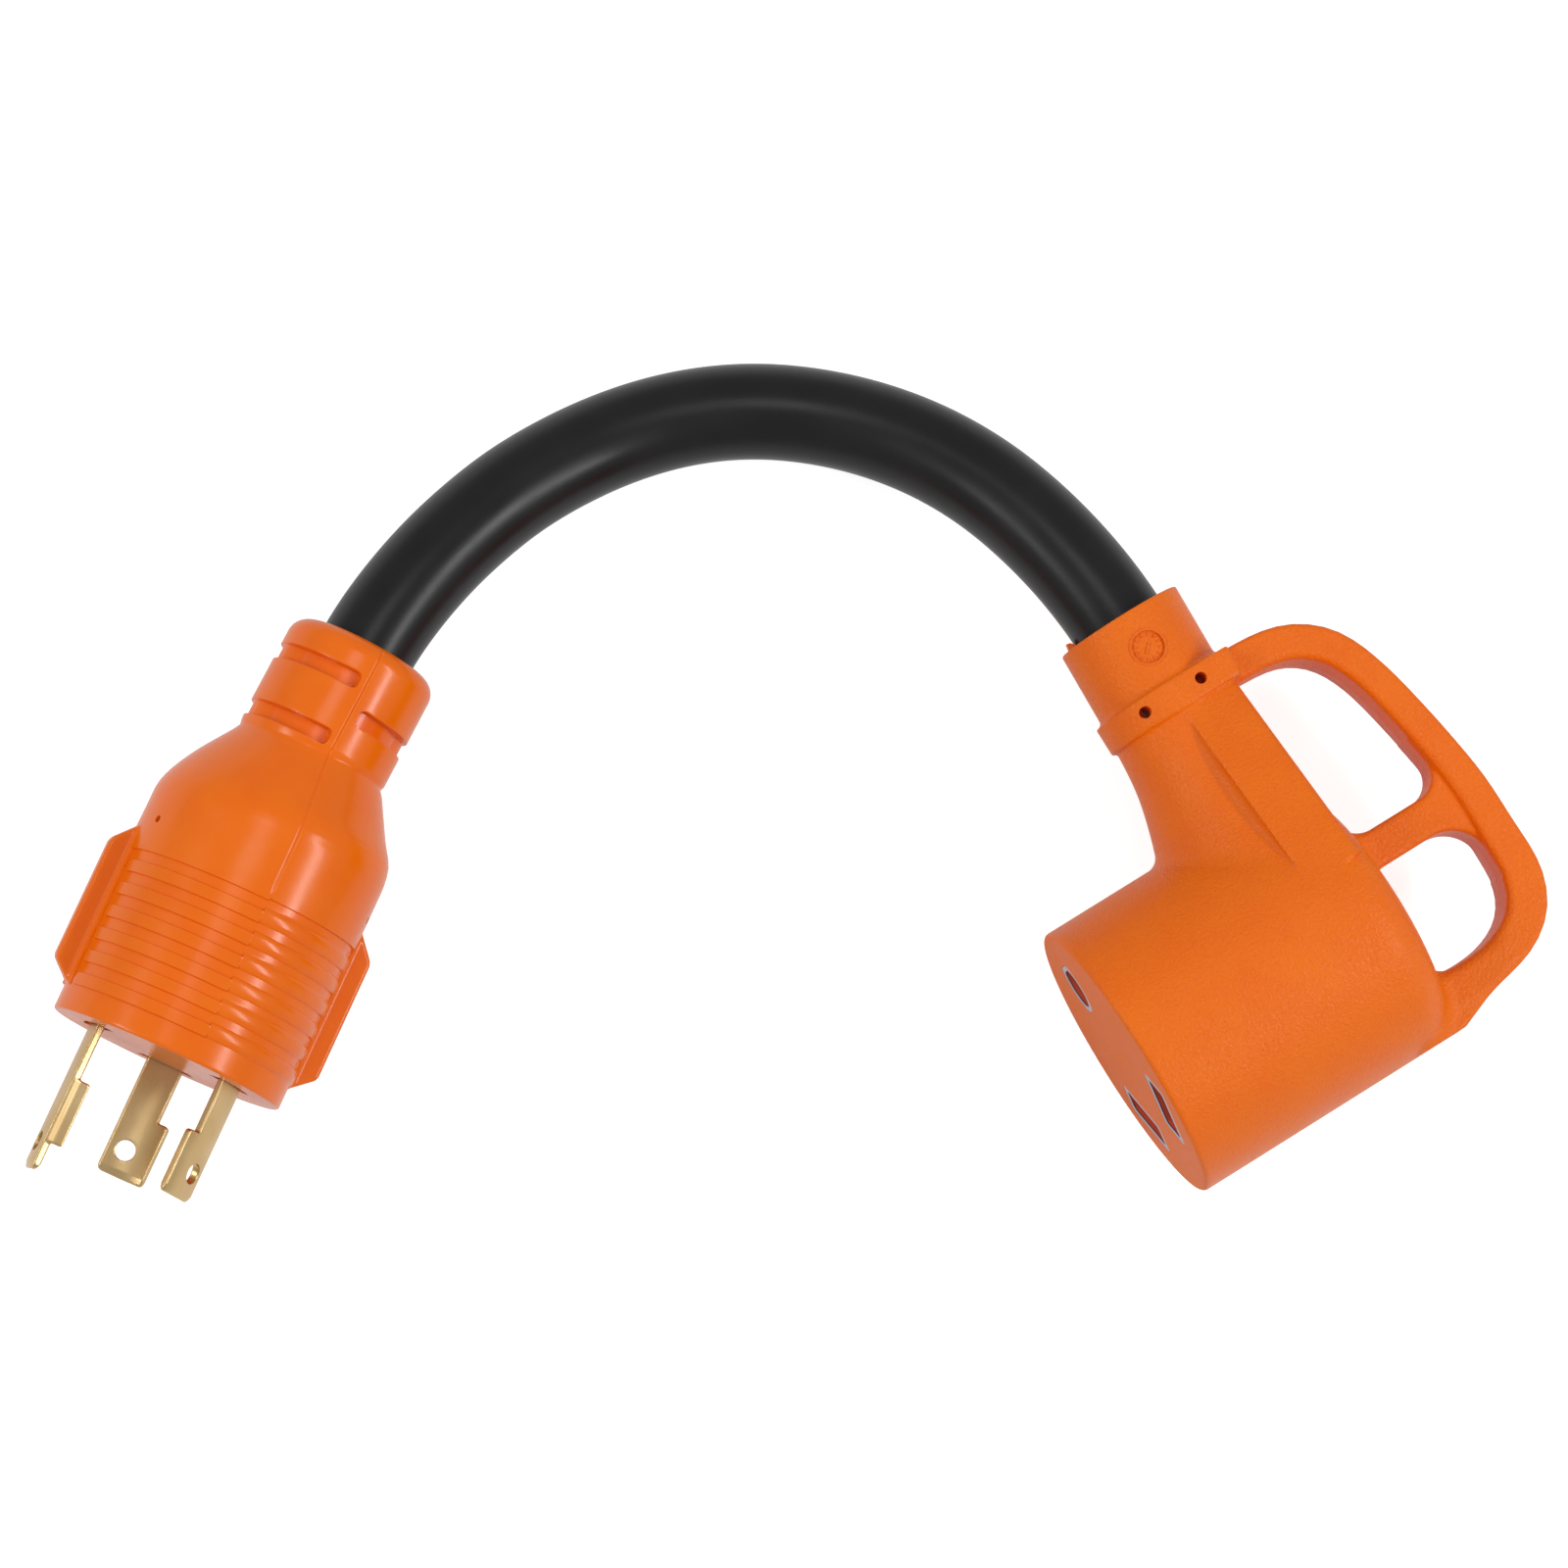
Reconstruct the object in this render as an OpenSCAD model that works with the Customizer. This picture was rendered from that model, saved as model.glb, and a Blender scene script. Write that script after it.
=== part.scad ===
// Short shore power adapter cord: a three-blade locking plug, a thick flexible cord
// and a right-angle travel-trailer socket with a pull handle.
// Frame: +Z up, the cord lies on z = 0, the socket faces -X and its neck runs along +Y.

/* [Cord] */
// Outside diameter of the cord jacket
cord_d = 17.9; // [17:0.1:18]
// Diameter of each insulated wire
wire_d = 5.3; // [4.6:0.1:5.4]
// Diameter of the copper bundle inside a wire
copper_d = 3.0; // [2.4:0.1:3.2]

/* [Plug] */
// Diameter of the plug over its raised bands
plug_d = 45.1; // [44:0.1:48]
// Length of the plug from its face to the end of its collar
plug_len = 82.6; // [82:0.1:90]
// Diameter of the plug's collar
plug_collar_d = 28.8; // [26:0.1:31]
// Span over the two finger wings
wing_span = 53.4; // [50:0.2:58]
// Thickness of a finger wing
wing_t = 2.8; // [2:0.1:4]
// Number of raised grip bands
band_count = 6; // [3:1:6]
// Distance from one grip band to the next
band_pitch = 4.45; // [4:0.05:4.6]

/* [Blades] */
// Diameter of the circle that the blades lie on
blade_circle_d = 28.4; // [27:0.1:29]
// Thickness of a blade
blade_t = 1.5; // [1.2:0.1:1.8]
// Width of a blade without its hook
blade_w = 6.9; // [6:0.1:7.2]
// Length of the two current-carrying blades beyond the face
blade_len = 22.2; // [18:0.2:24]
// Length of the grounding blade beyond the face
ground_blade_len = 27.9; // [24:0.2:30]

/* [Socket] */
// Diameter of the socket's barrel
barrel_d = 54.6; // [54:0.2:58]
// Distance from the socket's face to its flat rear
barrel_len = 55; // [53:0.1:58]
// Distance from the barrel's axis to the end of the neck
neck_len = 69; // [68:0.1:74]
// Diameter of the neck's collar
neck_collar_d = 24.5; // [23:0.1:26]
// Width of the handle's bar seen from above
handle_w = 7.5; // [7:0.1:10]
// Thickness of the handle's bar
handle_t = 14; // [10:0.5:17]
// Width of the strut between the two finger openings
strut_w = 7; // [5:0.1:8]

/* [Hidden] */

$fn = 96;
overmould_orange = "#ed7731";
insert_grey = "#b9b3c0";
jacket_black = "#26262a";
brass = "#d7b46e";
copper_red = "#c57a4a";
mould_grey = "#8b8b90";
filler_straw = "#d8d2c0";
wire_black = "#1c1c1e";
wire_white = "#ecebe6";
wire_green = "#2f7d3b";

fit_gap = 0.15;             // clearance between pieces that sit in one another
part_gap = 0.1;             // clearance between faces that lie on one another
bury = 1;                   // how far a union's pieces run into each other

// ---- Cord route -----------------------------------------------------------------------
// Where the barrel's axis and the neck's axis cross, on the table's plane
socket_at = [88.5, -60, 0];
neck_x = 0.7;               // how far behind the barrel's middle the neck's collar lies
// Points along the middle of the cord, from the plug's collar to the end of the neck
cord_route = [for (p = [
    [-119, 135.92, 20.51], [-107.8, 141.1, 19.2], [-98.5, 144.2, 17.5], [-89, 146.4, 15.5],
    [-79.6, 147.7, 13.5], [-70.2, 147.9, 11.7], [-61.1, 147.2, 10.2], [-51.7, 145.4, 9.3],
    [-42.7, 142.4, 9], [-34.1, 138.1, 9.1], [-24.6, 131.1, 10.2], [-16.5, 122.7, 12.2],
    [-10, 113.2, 14.9], [-5.3, 103.1, 17.7], [-2.2, 92.6, 20.4], [-0.2, 81.5, 22.7],
    [neck_x, 68.9, 24.3]
]) socket_at + p];
cord_start = cord_route[0];
cord_end = cord_route[len(cord_route) - 1];
plug_heading = 31;          // direction of the plug's collar toward the cord
plug_pitch = 3;             // how far the plug's face end is lifted
plug_roll = 14;             // turn of the plug about its own axis
collar_lean = 3;            // bend between the plug's body and its collar
pivot = 50;                 // where along the plug that bend lies
socket_roll = -2.5;         // turn of the socket about its barrel, which lowers the neck

jacket_sides = 12;
wire_sides = 8;
filler_sides = 6;
wire_r = wire_d / 2;
copper_r = copper_d / 2;
lay_r = wire_r * 1.19;      // distance from the cord's middle to each wire's middle
jacket_r = cord_d / 2;
jacket_bore_r = (lay_r + wire_r + part_gap) / cos(180 / jacket_sides);
filler_r = wire_r * 0.42;
filler_at = wire_r * 1.73;
lay_angle = [260, 140, 20]; // where line, neutral and ground lie in the cord
jacket_grip = 14;           // length of jacket held inside each collar
grip_middle = 4;            // a point of the route this far inside each collar

// ---- Frames ---------------------------------------------------------------------------
function turn_x(p, a) = [p.x, p.y * cos(a) - p.z * sin(a), p.y * sin(a) + p.z * cos(a)];
function turn_y(p, a) = [p.x * cos(a) + p.z * sin(a), p.y, p.z * cos(a) - p.x * sin(a)];
function turn_z(p, a) = [p.x * cos(a) - p.y * sin(a), p.x * sin(a) + p.y * cos(a), p.z];
function polar(r, a, z) = [r * cos(a), r * sin(a), z];
function unit(v) = v / norm(v);

// The plug's own frame has its face at z = 0 and its collar's end at z = plug_len.
function collar_point(p) =
    cord_start + turn_z(turn_x(p - [0, 0, plug_len], 90 + plug_pitch), 90 + plug_heading);
function plug_point(p) =
    collar_point([0, 0, pivot] + turn_y(turn_z(p - [0, 0, pivot], plug_roll), collar_lean));
// The socket's own frame has the barrel along x and the neck along +y.
function socket_point(p) = cord_end + turn_x(p - [neck_x, neck_len, 0], socket_roll);

module at_collar() {
    translate(cord_start)
        rotate([90 + plug_pitch, 0, 90 + plug_heading])
            translate([0, 0, -plug_len])
                children();
}

module at_plug() {
    at_collar()
        translate([0, 0, pivot])
            rotate([0, collar_lean, 0])
                rotate([0, 0, plug_roll])
                    translate([0, 0, -pivot])
                        children();
}

module at_socket() {
    translate(cord_end)
        rotate([socket_roll, 0, 0])
            translate([-neck_x, -neck_len, 0])
                children();
}

// ---- Swept shapes -----------------------------------------------------------------------
function heading(path, i) = unit(path[min(i + 1, len(path) - 1)] - path[max(i - 1, 0)]);
function side_of(t) = unit(cross([0, 0, 1], t));
function across(p, t, x, y) = p + side_of(t) * x + cross(t, side_of(t)) * y;
// A path beside another, as a wire lies in a cord
function beside(path, r, a) =
    [for (i = [0:len(path) - 1]) across(path[i], heading(path, i), r * cos(a), r * sin(a))];
function ring(path, i, r, sides) =
    [for (k = [0:sides - 1])
        across(path[i], heading(path, i), r * cos(360 * k / sides), r * sin(360 * k / sides))];
function skin(first, rows, sides, flip) =
    [for (i = [0:rows - 2], k = [0:sides - 1])
        let (a = first + i * sides + k, b = first + i * sides + (k + 1) % sides)
            flip ? [a, b, b + sides, a + sides] : [a, a + sides, b + sides, b]];

// A solid round bar along a path
module rod(path, r, sides) {
    rows = len(path);
    polyhedron(
        points = [for (i = [0:rows - 1]) each ring(path, i, r, sides)],
        faces = concat(
            skin(0, rows, sides, false),
            [[for (k = [0:sides - 1]) k], [for (k = [0:sides - 1]) rows * sides - 1 - k]]),
        convexity = 10);
}

// A tube along a path
module tube(path, r, bore_r, sides) {
    rows = len(path);
    inside = rows * sides;
    last = (rows - 1) * sides;
    polyhedron(
        points = concat(
            [for (i = [0:rows - 1]) each ring(path, i, r, sides)],
            [for (i = [0:rows - 1]) each ring(path, i, bore_r, sides)]),
        faces = concat(
            skin(0, rows, sides, false),
            skin(inside, rows, sides, true),
            [for (k = [0:sides - 1])
                let (n = (k + 1) % sides) [k, n, inside + n, inside + k]],
            [for (k = [0:sides - 1])
                let (n = (k + 1) % sides) [last + n, last + k, inside + last + k, inside + last + n]]),
        convexity = 10);
}

function arc(cx, cy, r, from, to, steps) =
    [for (i = [0:steps]) let (a = from + (to - from) * i / steps) [cx + r * cos(a), cy + r * sin(a)]];
// A smooth curve through hand-set points, with steps points to each stretch
function blend(a, b, c, d, t) =
    b + (c - a) * (t / 2) + (a * 2 - b * 5 + c * 4 - d) * (t * t / 2)
    + (b * 3 - a - c * 3 + d) * (t * t * t / 2);
function curve(p, steps) = concat(
    [for (i = [0:len(p) - 2], k = [0:steps - 1])
        blend(p[max(i - 1, 0)], p[i], p[i + 1], p[min(i + 2, len(p) - 1)], k / steps)],
    [p[len(p) - 1]]);

// A bar with a rounded oblong section, whose width may differ along its path
module bar(path, widths, thick, sides, squareness) {
    rows = len(path);
    polyhedron(
        points = [for (i = [0:rows - 1], k = [0:sides - 1])
            let (a = 360 * (k + 0.5) / sides,
                x = sign(cos(a)) * pow(abs(cos(a)), 2 / squareness) * widths[i] / 2,
                y = sign(sin(a)) * pow(abs(sin(a)), 2 / squareness) * thick / 2)
            across(path[i], heading(path, i), x, y)],
        faces = concat(
            skin(0, rows, sides, false),
            [[for (k = [0:sides - 1]) k], [for (k = [0:sides - 1]) rows * sides - 1 - k]]),
        convexity = 10);
}

// A box given by its two opposite corners
module block(lo, hi) {
    translate(lo) cube(hi - lo);
}

// ---- Wires ------------------------------------------------------------------------------
crimp_r = 2.5;              // outside of the barrel that is crimped on a wire
crimp_bore_r = copper_r + part_gap;
crimp_len = 10;
plug_crimp_z = 23;          // where the crimps begin behind the plug's face
crimp_inset = 1.9;          // how far a crimp lies inside the blade circle
plug_crimp_at = blade_circle_d / 2 - crimp_inset;
blade_angle = [257, 139, 0];
socket_crimp_x = -14.6;     // where the crimps begin behind the socket's carrier
slot_at = [[-10.7, -12.9], [-10.7, 12.9], [16.1, 0]];
jacket_stop = plug_len - jacket_grip;
// Each wire fans out from the jacket to its blade: distance from the axis, then place
fan_out = [[1, 36], [0.98, 39], [0.84, 43], [0.63, 47], [0.44, 51], [0.3, 56]];

function plug_run(k) =
    [for (f = fan_out) plug_point(polar(plug_crimp_at * f[0], blade_angle[k], f[1]))];
function collar_run(k) =
    [for (z = [jacket_stop - 2 * grip_middle, jacket_stop, plug_len - grip_middle])
        collar_point(polar(lay_r, lay_angle[k], z))];
function cord_run(k) = beside(cord_route, lay_r, lay_angle[k]);
// The way from the neck to each contact, in the socket's own frame
neck_turn = [
    [[neck_x - 0.6, 52, -3.1], [-0.8, 40, -4.6], [0.3, 27, -7.2], [1.8, 14, -9.8], [3, 2, -12],
        [2.2, -5, -12.7], [-0.5, -9.4, -12.9], [-4.2, -10.7, -12.9]],
    [[neck_x - 2.4, 52, 2.1], [-1.6, 40, 3.6], [0.3, 27, 7.0], [1.8, 14, 9.8], [3, 2, 12],
        [2.2, -5, 12.7], [-0.5, -9.4, 12.9], [-4.2, -10.7, 12.9]],
    [[neck_x + 3, 52, 1.1], [3.3, 40, 1], [3.3, 29, 0.8], [1.8, 21.5, 0.5], [-1, 17.3, 0.2],
        [-4.2, 16.1, 0]]
];
function socket_run(k) = [for (p = neck_turn[k]) socket_point(p)];
function wire_run(k) = concat(plug_run(k), collar_run(k), cord_run(k), socket_run(k));
function copper_run(k) = concat(
    [plug_point(polar(plug_crimp_at, blade_angle[k], plug_crimp_z + part_gap))],
    wire_run(k),
    [socket_point([socket_crimp_x + part_gap, slot_at[k].x, slot_at[k].y])]);
jacket_run = concat(
    [for (z = [jacket_stop, plug_len - grip_middle]) collar_point([0, 0, z])],
    cord_route,
    [for (y = [neck_len - grip_middle, neck_len - jacket_grip]) socket_point([neck_x, y, 0])]);

module cord_jacket() {
    color(jacket_black)
        tube(jacket_run, jacket_r, jacket_bore_r, jacket_sides);
}

module cord_fillers() {
    color(filler_straw)
        for (a = lay_angle)
            rod(beside(cord_route, filler_at, a + 60), filler_r, filler_sides);
}

module wire(k, tint) {
    color(tint)
        tube(wire_run(k), wire_r, copper_r + part_gap / 2, wire_sides);
}

module copper(k) {
    color(copper_red)
        rod(copper_run(k), copper_r, wire_sides);
}

// ---- Plug -------------------------------------------------------------------------------
plug_r = plug_d / 2;
band_h = 0.5;               // how far a band stands out
band_w = 2.35;
band_edge = 0.2;            // bevel at a band's edges
first_band = 4.7;
dome_from = first_band + band_pitch * band_count - 0.1;
face_edge = 0.4;            // bevel round the plug's face
dome_r = 13;                // rounding of the shoulder
shoulder_z = 43;
cone_slope = 0.64;
cone_drop = 2.05;           // how far the body has narrowed where it bends
collar_from = 60;
collar_r = plug_collar_d / 2;
face_wall = 2.5;            // thickness of the plug's face
insert_r = 18;
insert_back = 12.4;
mould_r = 18.2;
mould_back = 40;
mould_tip_r = 9.6;
window_extra = 1.7;         // how far a window runs past the blade at each edge
window_gap = 1.2;           // how far a window runs past each side of the blade
pin_mark_r = 0.7;
pin_mark_z = 37.4;
pin_mark_at = [19, 160];
pocket_h = 3;
pocket_depth = 1.7;
pocket_shift = 1.3;         // makes a pocket shallower toward its middle

function cone_r(z) = plug_r - cone_drop - (z - pivot) * cone_slope;

module plug_solid() {
    base = plug_r - band_h;
    rotate_extrude()
        polygon(concat(
            [[0, 0], [base - face_edge, 0], [base, face_edge], [base, dome_from],
                [plug_r, dome_from], [plug_r, shoulder_z]],
            arc(plug_r - dome_r, shoulder_z, dome_r, 6, 32, 4),
            [[cone_r(collar_from - 1), collar_from - 1], [0, collar_from - 1]]));
    for (i = [0:band_count - 1])
        translate([0, 0, first_band + band_pitch * i])
            rotate_extrude()
                polygon([[base - bury, 0], [plug_r - band_edge, 0], [plug_r, band_edge],
                    [plug_r, band_w - band_edge], [plug_r - band_edge, band_w], [base - bury, band_w]]);
}

// The two flat finger wings stand out from the sides of the body
module wings() {
    base = plug_r - bury;
    out = wing_span / 2;
    front = 4.8;
    front_out = 8;
    back_out = 32.4;
    back = 36;
    for (side = [0, 1])
        mirror([side, 0, 0])
            translate([0, wing_t / 2, 0])
                rotate([90, 0, 0])
                    linear_extrude(wing_t)
                        polygon([[base, front], [plug_r, front], [out - 0.3, front_out],
                            [out, front_out + 1], [out, back_out - 1.4], [out - 0.5, back_out],
                            [plug_r, back], [base, back]]);
}

module collar_solid() {
    end_r = 2.6;
    end_h = 3;
    translate([0, 0, pivot])
        cylinder(h = plug_len - pivot - end_h, r = collar_r);
    translate([0, 0, plug_len - end_h])
        rotate_extrude()
            polygon(concat([[0, 0], [collar_r, 0]], arc(collar_r - end_r, end_h - end_r, end_r, 8, 90, 5),
                [[0, end_h]]));
}

// Shallow grip pockets, two on one half of the collar and one on the other
module collar_pockets() {
    places = [[63.3, 0], [74.8, 0], [69.1, 180]];
    span = 156;
    for (p = places)
        translate([0, 0, p[0] - pocket_h / 2])
            rotate([0, 0, plug_roll + p[1]])
                difference() {
                    rotate([0, 0, -span / 2])
                        rotate_extrude(angle = span)
                            translate([collar_r - pocket_depth, 0])
                                square([pocket_depth + bury, pocket_h]);
                    translate([pocket_shift, 0, -bury])
                        cylinder(h = pocket_h + 2 * bury, r = collar_r - pocket_depth);
                }
}

// A curved plate on the blade circle, whose outline is drawn flat
module curved_plate(from, to, thick) {
    intersection() {
        translate([0, 0, from])
            difference() {
                cylinder(h = to - from, r = blade_circle_d / 2 + thick / 2);
                translate([0, 0, -bury])
                    cylinder(h = to - from + 2 * bury, r = blade_circle_d / 2 - thick / 2);
            }
        rotate([90, 0, 90])
            linear_extrude(blade_circle_d)
                children();
    }
}

module blade_slot(width, thick, from, to) {
    curved_plate(from, to, thick)
        translate([-width / 2, from])
            square([width, to - from]);
}

module plug_body() {
    color(overmould_orange)
        difference() {
            union() {
                at_plug() plug_solid();
                at_plug() wings();
                at_collar() collar_solid();
            }
            at_plug() {
                translate([0, 0, face_wall])
                    cylinder(h = mould_back - face_wall, r = mould_r + fit_gap);
                translate([0, 0, mould_back])
                    cylinder(h = pivot - mould_back, r1 = mould_r + fit_gap, r2 = mould_tip_r + fit_gap);
                for (a = blade_angle)
                    rotate([0, 0, a])
                        blade_slot(blade_w + 2 * window_extra, blade_t + 2 * window_gap,
                            -bury, face_wall + bury);
                for (a = pin_mark_at)
                    rotate([0, 0, a])
                        translate([plug_r - 1.5, 0, pin_mark_z])
                            rotate([0, 90, 0])
                                cylinder(h = 4, r = pin_mark_r);
            }
            at_collar() {
                translate([0, 0, pivot - 1])
                    cylinder(h = plug_len, r = jacket_r + fit_gap);
                collar_pockets();
            }
        }
}

// The rigid inner moulding that holds the crimps and the fanned-out wires
module plug_inner_mould() {
    front = insert_back + part_gap;
    pocket_r = 3.3;
    color(mould_grey)
        difference() {
            at_plug() {
                translate([0, 0, front])
                    cylinder(h = mould_back - front, r = mould_r);
                translate([0, 0, mould_back])
                    cylinder(h = pivot - mould_back, r1 = mould_r, r2 = mould_tip_r);
            }
            at_plug()
                for (a = blade_angle)
                    rotate([0, 0, a])
                        translate([plug_crimp_at, 0, front - bury])
                            cylinder(h = plug_crimp_z + crimp_len + 2 - front, r = pocket_r);
            for (k = [0:2])
                rod(concat([plug_point(polar(plug_crimp_at, blade_angle[k], plug_crimp_z + crimp_len - 3))],
                    plug_run(k), collar_run(k)), wire_r + fit_gap, wire_sides);
        }
}

// The pale disc that carries the blades, with raised rims in the windows of the face
module plug_insert() {
    front = face_wall + part_gap;
    rim_back = 0.5;
    color(insert_grey)
        at_plug()
            difference() {
                union() {
                    translate([0, 0, front])
                        cylinder(h = insert_back - front, r = insert_r);
                    for (a = blade_angle)
                        rotate([0, 0, a])
                            blade_slot(blade_w + 2 * (window_extra - fit_gap),
                                blade_t + 2 * (window_gap - fit_gap), rim_back, front + bury);
                }
                for (a = blade_angle)
                    rotate([0, 0, a])
                        blade_slot(blade_w + 2 * fit_gap, blade_t + 2 * fit_gap,
                            -bury, insert_back + bury);
            }
}

function corner(x, y, r, from) = arc(x, y, r, from, from + 90, 4);
tail_end = plug_crimp_z + 3; // how far a blade's tail runs into its crimp

// A flat outline of a blade: its tip at z = -length and its tail in the crimp
module blade_outline(length, hook) {
    half = blade_w / 2;
    tip_r = 1;
    hook_w = 2.2;
    hook_from = -10.2;
    hook_r = 0.5;
    tail_w = 1.7;
    reach = half + (hook ? hook_w : 0);
    polygon(concat(
        corner(-half + tip_r, -length + tip_r, tip_r, 180),
        corner(reach - tip_r, -length + tip_r, tip_r, 270),
        hook ? concat(corner(reach - hook_r, hook_from - hook_r, hook_r, 0), [[half, hook_from]]) : [],
        [[half, insert_back], [tail_w, insert_back], [tail_w, tail_end],
            [-tail_w, tail_end], [-tail_w, insert_back], [-half, insert_back]]));
}

module blade(k, length, hook) {
    hole_r = 1.9;
    hole_up = 5.1;
    bevel = 0.45;
    bevel_len = 1.4;
    mid_r = blade_circle_d / 2;
    color(brass)
        at_plug()
            rotate([0, 0, blade_angle[k]])
                difference() {
                    union() {
                        intersection() {
                            curved_plate(-length - bury, tail_end, blade_t)
                                mirror([1, 0])
                                    blade_outline(length, hook);
                            rotate_extrude()
                                polygon([[0, -length], [mid_r + blade_t / 2 - bevel, -length],
                                    [mid_r + blade_t / 2, -length + bevel_len],
                                    [mid_r + blade_t, mould_back], [0, mould_back]]);
                        }
                        translate([plug_crimp_at, 0, plug_crimp_z])
                            cylinder(h = crimp_len, r = crimp_r);
                        children();
                    }
                    translate([plug_crimp_at, 0, plug_crimp_z - bury])
                        cylinder(h = crimp_len + 2 * bury, r = crimp_bore_r);
                    translate([0, 0, hole_up - length])
                        rotate([0, 90, 0])
                            cylinder(h = plug_d, r = hole_r);
                }
}

module blade_line() {
    blade(0, blade_len, true);
}

module blade_neutral() {
    blade(1, blade_len, true);
}

// The grounding blade has a flange turned inward in place of a hook
module blade_ground() {
    flange_from = -22.4;
    flange_to = -10.2;
    flange_in = 2;
    edge = blade_w / 2;
    inner = sqrt(pow(blade_circle_d / 2, 2) - pow(edge, 2));
    blade(2, ground_blade_len, false)
        block([inner - blade_t / 2 - flange_in, edge - blade_t, flange_from],
            [inner + 0.25 * blade_t, edge, flange_to]);
}

// ---- Socket -----------------------------------------------------------------------------
barrel_r = barrel_d / 2;
face_x = -41.6;
rear_x = face_x + barrel_len;
shoulder_r = 7.5;           // rounding at the rear of the barrel
socket_wall = 2.5;
cavity_r = 22.2;
cavity_end = 8;
core_from = face_x + socket_wall + part_gap;
core_back = -19.3;
cover_t = 2.9;
cover_back = core_back + part_gap + cover_t;
core_r = cavity_r - fit_gap;
neck_r = neck_collar_d / 2;
band_from = 48.7;
band_to = 54.3;
band_r = 13.1;
band_half = 12.8;           // half the height of the band's square rear
band_back = 13.3;
web_back = 11.4;
neck_cavity_x = 8.6;
neck_cavity_r = 11.8;
wire_way_r = 8.6;
wire_way_end = neck_len - jacket_grip - 0.6;
flare_least_r = 11.4;
flare_end = 56;
flare_rate = 150;

// The neck swells toward the barrel along a hollow curve
function flare_r(y) = flare_least_r + pow(flare_end - y, 2) / flare_rate;

// Turns a shape drawn around z so that it lies around the barrel's axis
module along_barrel() {
    rotate([90, 0, 90]) children();
}

// Turns a shape drawn around z so that it lies around the neck's axis
module along_neck() {
    rotate([-90, 0, 0]) children();
}

module barrel_solid() {
    edge = 0.8;
    along_barrel()
        rotate_extrude()
            polygon(concat(
                [[0, face_x], [barrel_r - edge, face_x], [barrel_r, face_x + edge]],
                arc(barrel_r - shoulder_r, rear_x - shoulder_r, shoulder_r, 0, 90, 7),
                [[0, rear_x]]));
}

module neck_solid() {
    edge = 0.5;
    flare_from = 12;
    flare_steps = 7;
    difference() {
        along_neck()
            rotate_extrude()
                polygon(concat(
                    [[0, flare_from]],
                    [for (i = [0:flare_steps])
                        let (y = flare_from + (band_from - flare_from) * i / flare_steps) [flare_r(y), y]],
                    [[band_r, band_from + 0.6], [band_r, band_to - 0.3], [neck_r, band_to + 0.3],
                        [0, band_to + 0.3]]));
        // The web makes the rear of the neck flat
        block([web_back - bury, 0, -barrel_r], [barrel_d, band_from, barrel_r]);
    }
    translate([neck_x, 0, 0])
        along_neck()
            rotate_extrude()
                polygon([[0, band_to - bury], [neck_r, band_to - bury], [neck_r, neck_len - edge],
                    [neck_r - edge, neck_len], [0, neck_len]]);
}

// The web stiffens the rear of the neck, with sides that slope down to the collar
module web() {
    low = 11.7;
    high = 24;
    high_y = 14;
    edge = 1.6;
    for (layer = [[web_back - edge, 0], [web_back, edge]])
        rotate([90, 0, 90])
            linear_extrude(layer[0])
                polygon([[high_y - 8, layer[1] - high], [high_y, layer[1] - high],
                    [band_from, layer[1] - low], [band_from, low - layer[1]],
                    [high_y, high - layer[1]], [high_y - 8, high - layer[1]]]);
    block([0, band_from, -band_half], [band_back - edge, band_to, band_half]);
    block([0, band_from + edge / 2, edge - band_half], [band_back, band_to - edge / 2, band_half - edge]);
}

// Middle of the handle's bar, from the neck round to the rear of the barrel
handle_path = [
    [4, 50.9, 0], [16, 50.8, 0], [23.8, 49.5, 0], [29.9, 45.2, 0], [33.5, 38.4, 0],
    [35.9, 28.8, 0], [37.7, 18.4, 0], [38.7, 8.3, 0], [38.6, -1.1, 0], [38, -9.8, 0],
    [34.8, -15.5, 0], [28.5, -19.2, 0], [19.7, -20.8, 0], [4, -22.2, 0]
];

module handle() {
    path = curve(handle_path, 2);
    last = len(path) - 1;
    least = 0.97;
    more = 0.04;
    // A little slimmer where it leaves the neck and where it meets the barrel
    widths = [for (i = [0:last]) handle_w * (least + more * sin(180 * i / last))];
    bar(path, widths, handle_t, 16, 3);
}

// The strut between the two finger openings swells where it meets the handle and the barrel
module strut() {
    from = 8;
    to = 38;
    y = 8.9;
    steps = 14;
    swell = 4;
    path = [for (i = [0:steps]) [from + (to - from) * i / steps, y, 0]];
    root = rear_x;
    tip = 34.2;
    most = strut_w + 2.2 * swell;
    thinner = 3;
    widths = [for (p = path)
        strut_w + swell * (pow(max(0, 1 - (p.x - root) / swell), 2)
            + pow(max(0, 1 - (tip - p.x) / swell), 2))];
    bar(path, [for (w = widths) min(w, most)], handle_t - thinner, 12, 3);
}

module slot_shape(length, width, r) {
    x = length / 2 - r;
    y = width / 2 - r;
    polygon(concat(corner(x, y, r, 0), corner(-x, y, r, 90), corner(-x, -y, r, 180), corner(x, -y, r, 270)));
}

// The grounding opening: round, with a flat side toward the neck
module ground_shape(r) {
    flat = r * ground_flat;
    intersection() {
        circle(r = r);
        translate([-r, -r])
            square([r + flat, 2 * r]);
    }
}

slot_tilt = [-45, 45];
slot_len = 14.6;
slot_w = 7.6;
slot_corner_r = 1.1;
ground_win_r = 5.2;
ground_flat = 0.9;          // where its flat side lies, as a share of its radius
rim = 1.15;                 // width of the pale rims in the windows

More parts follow.
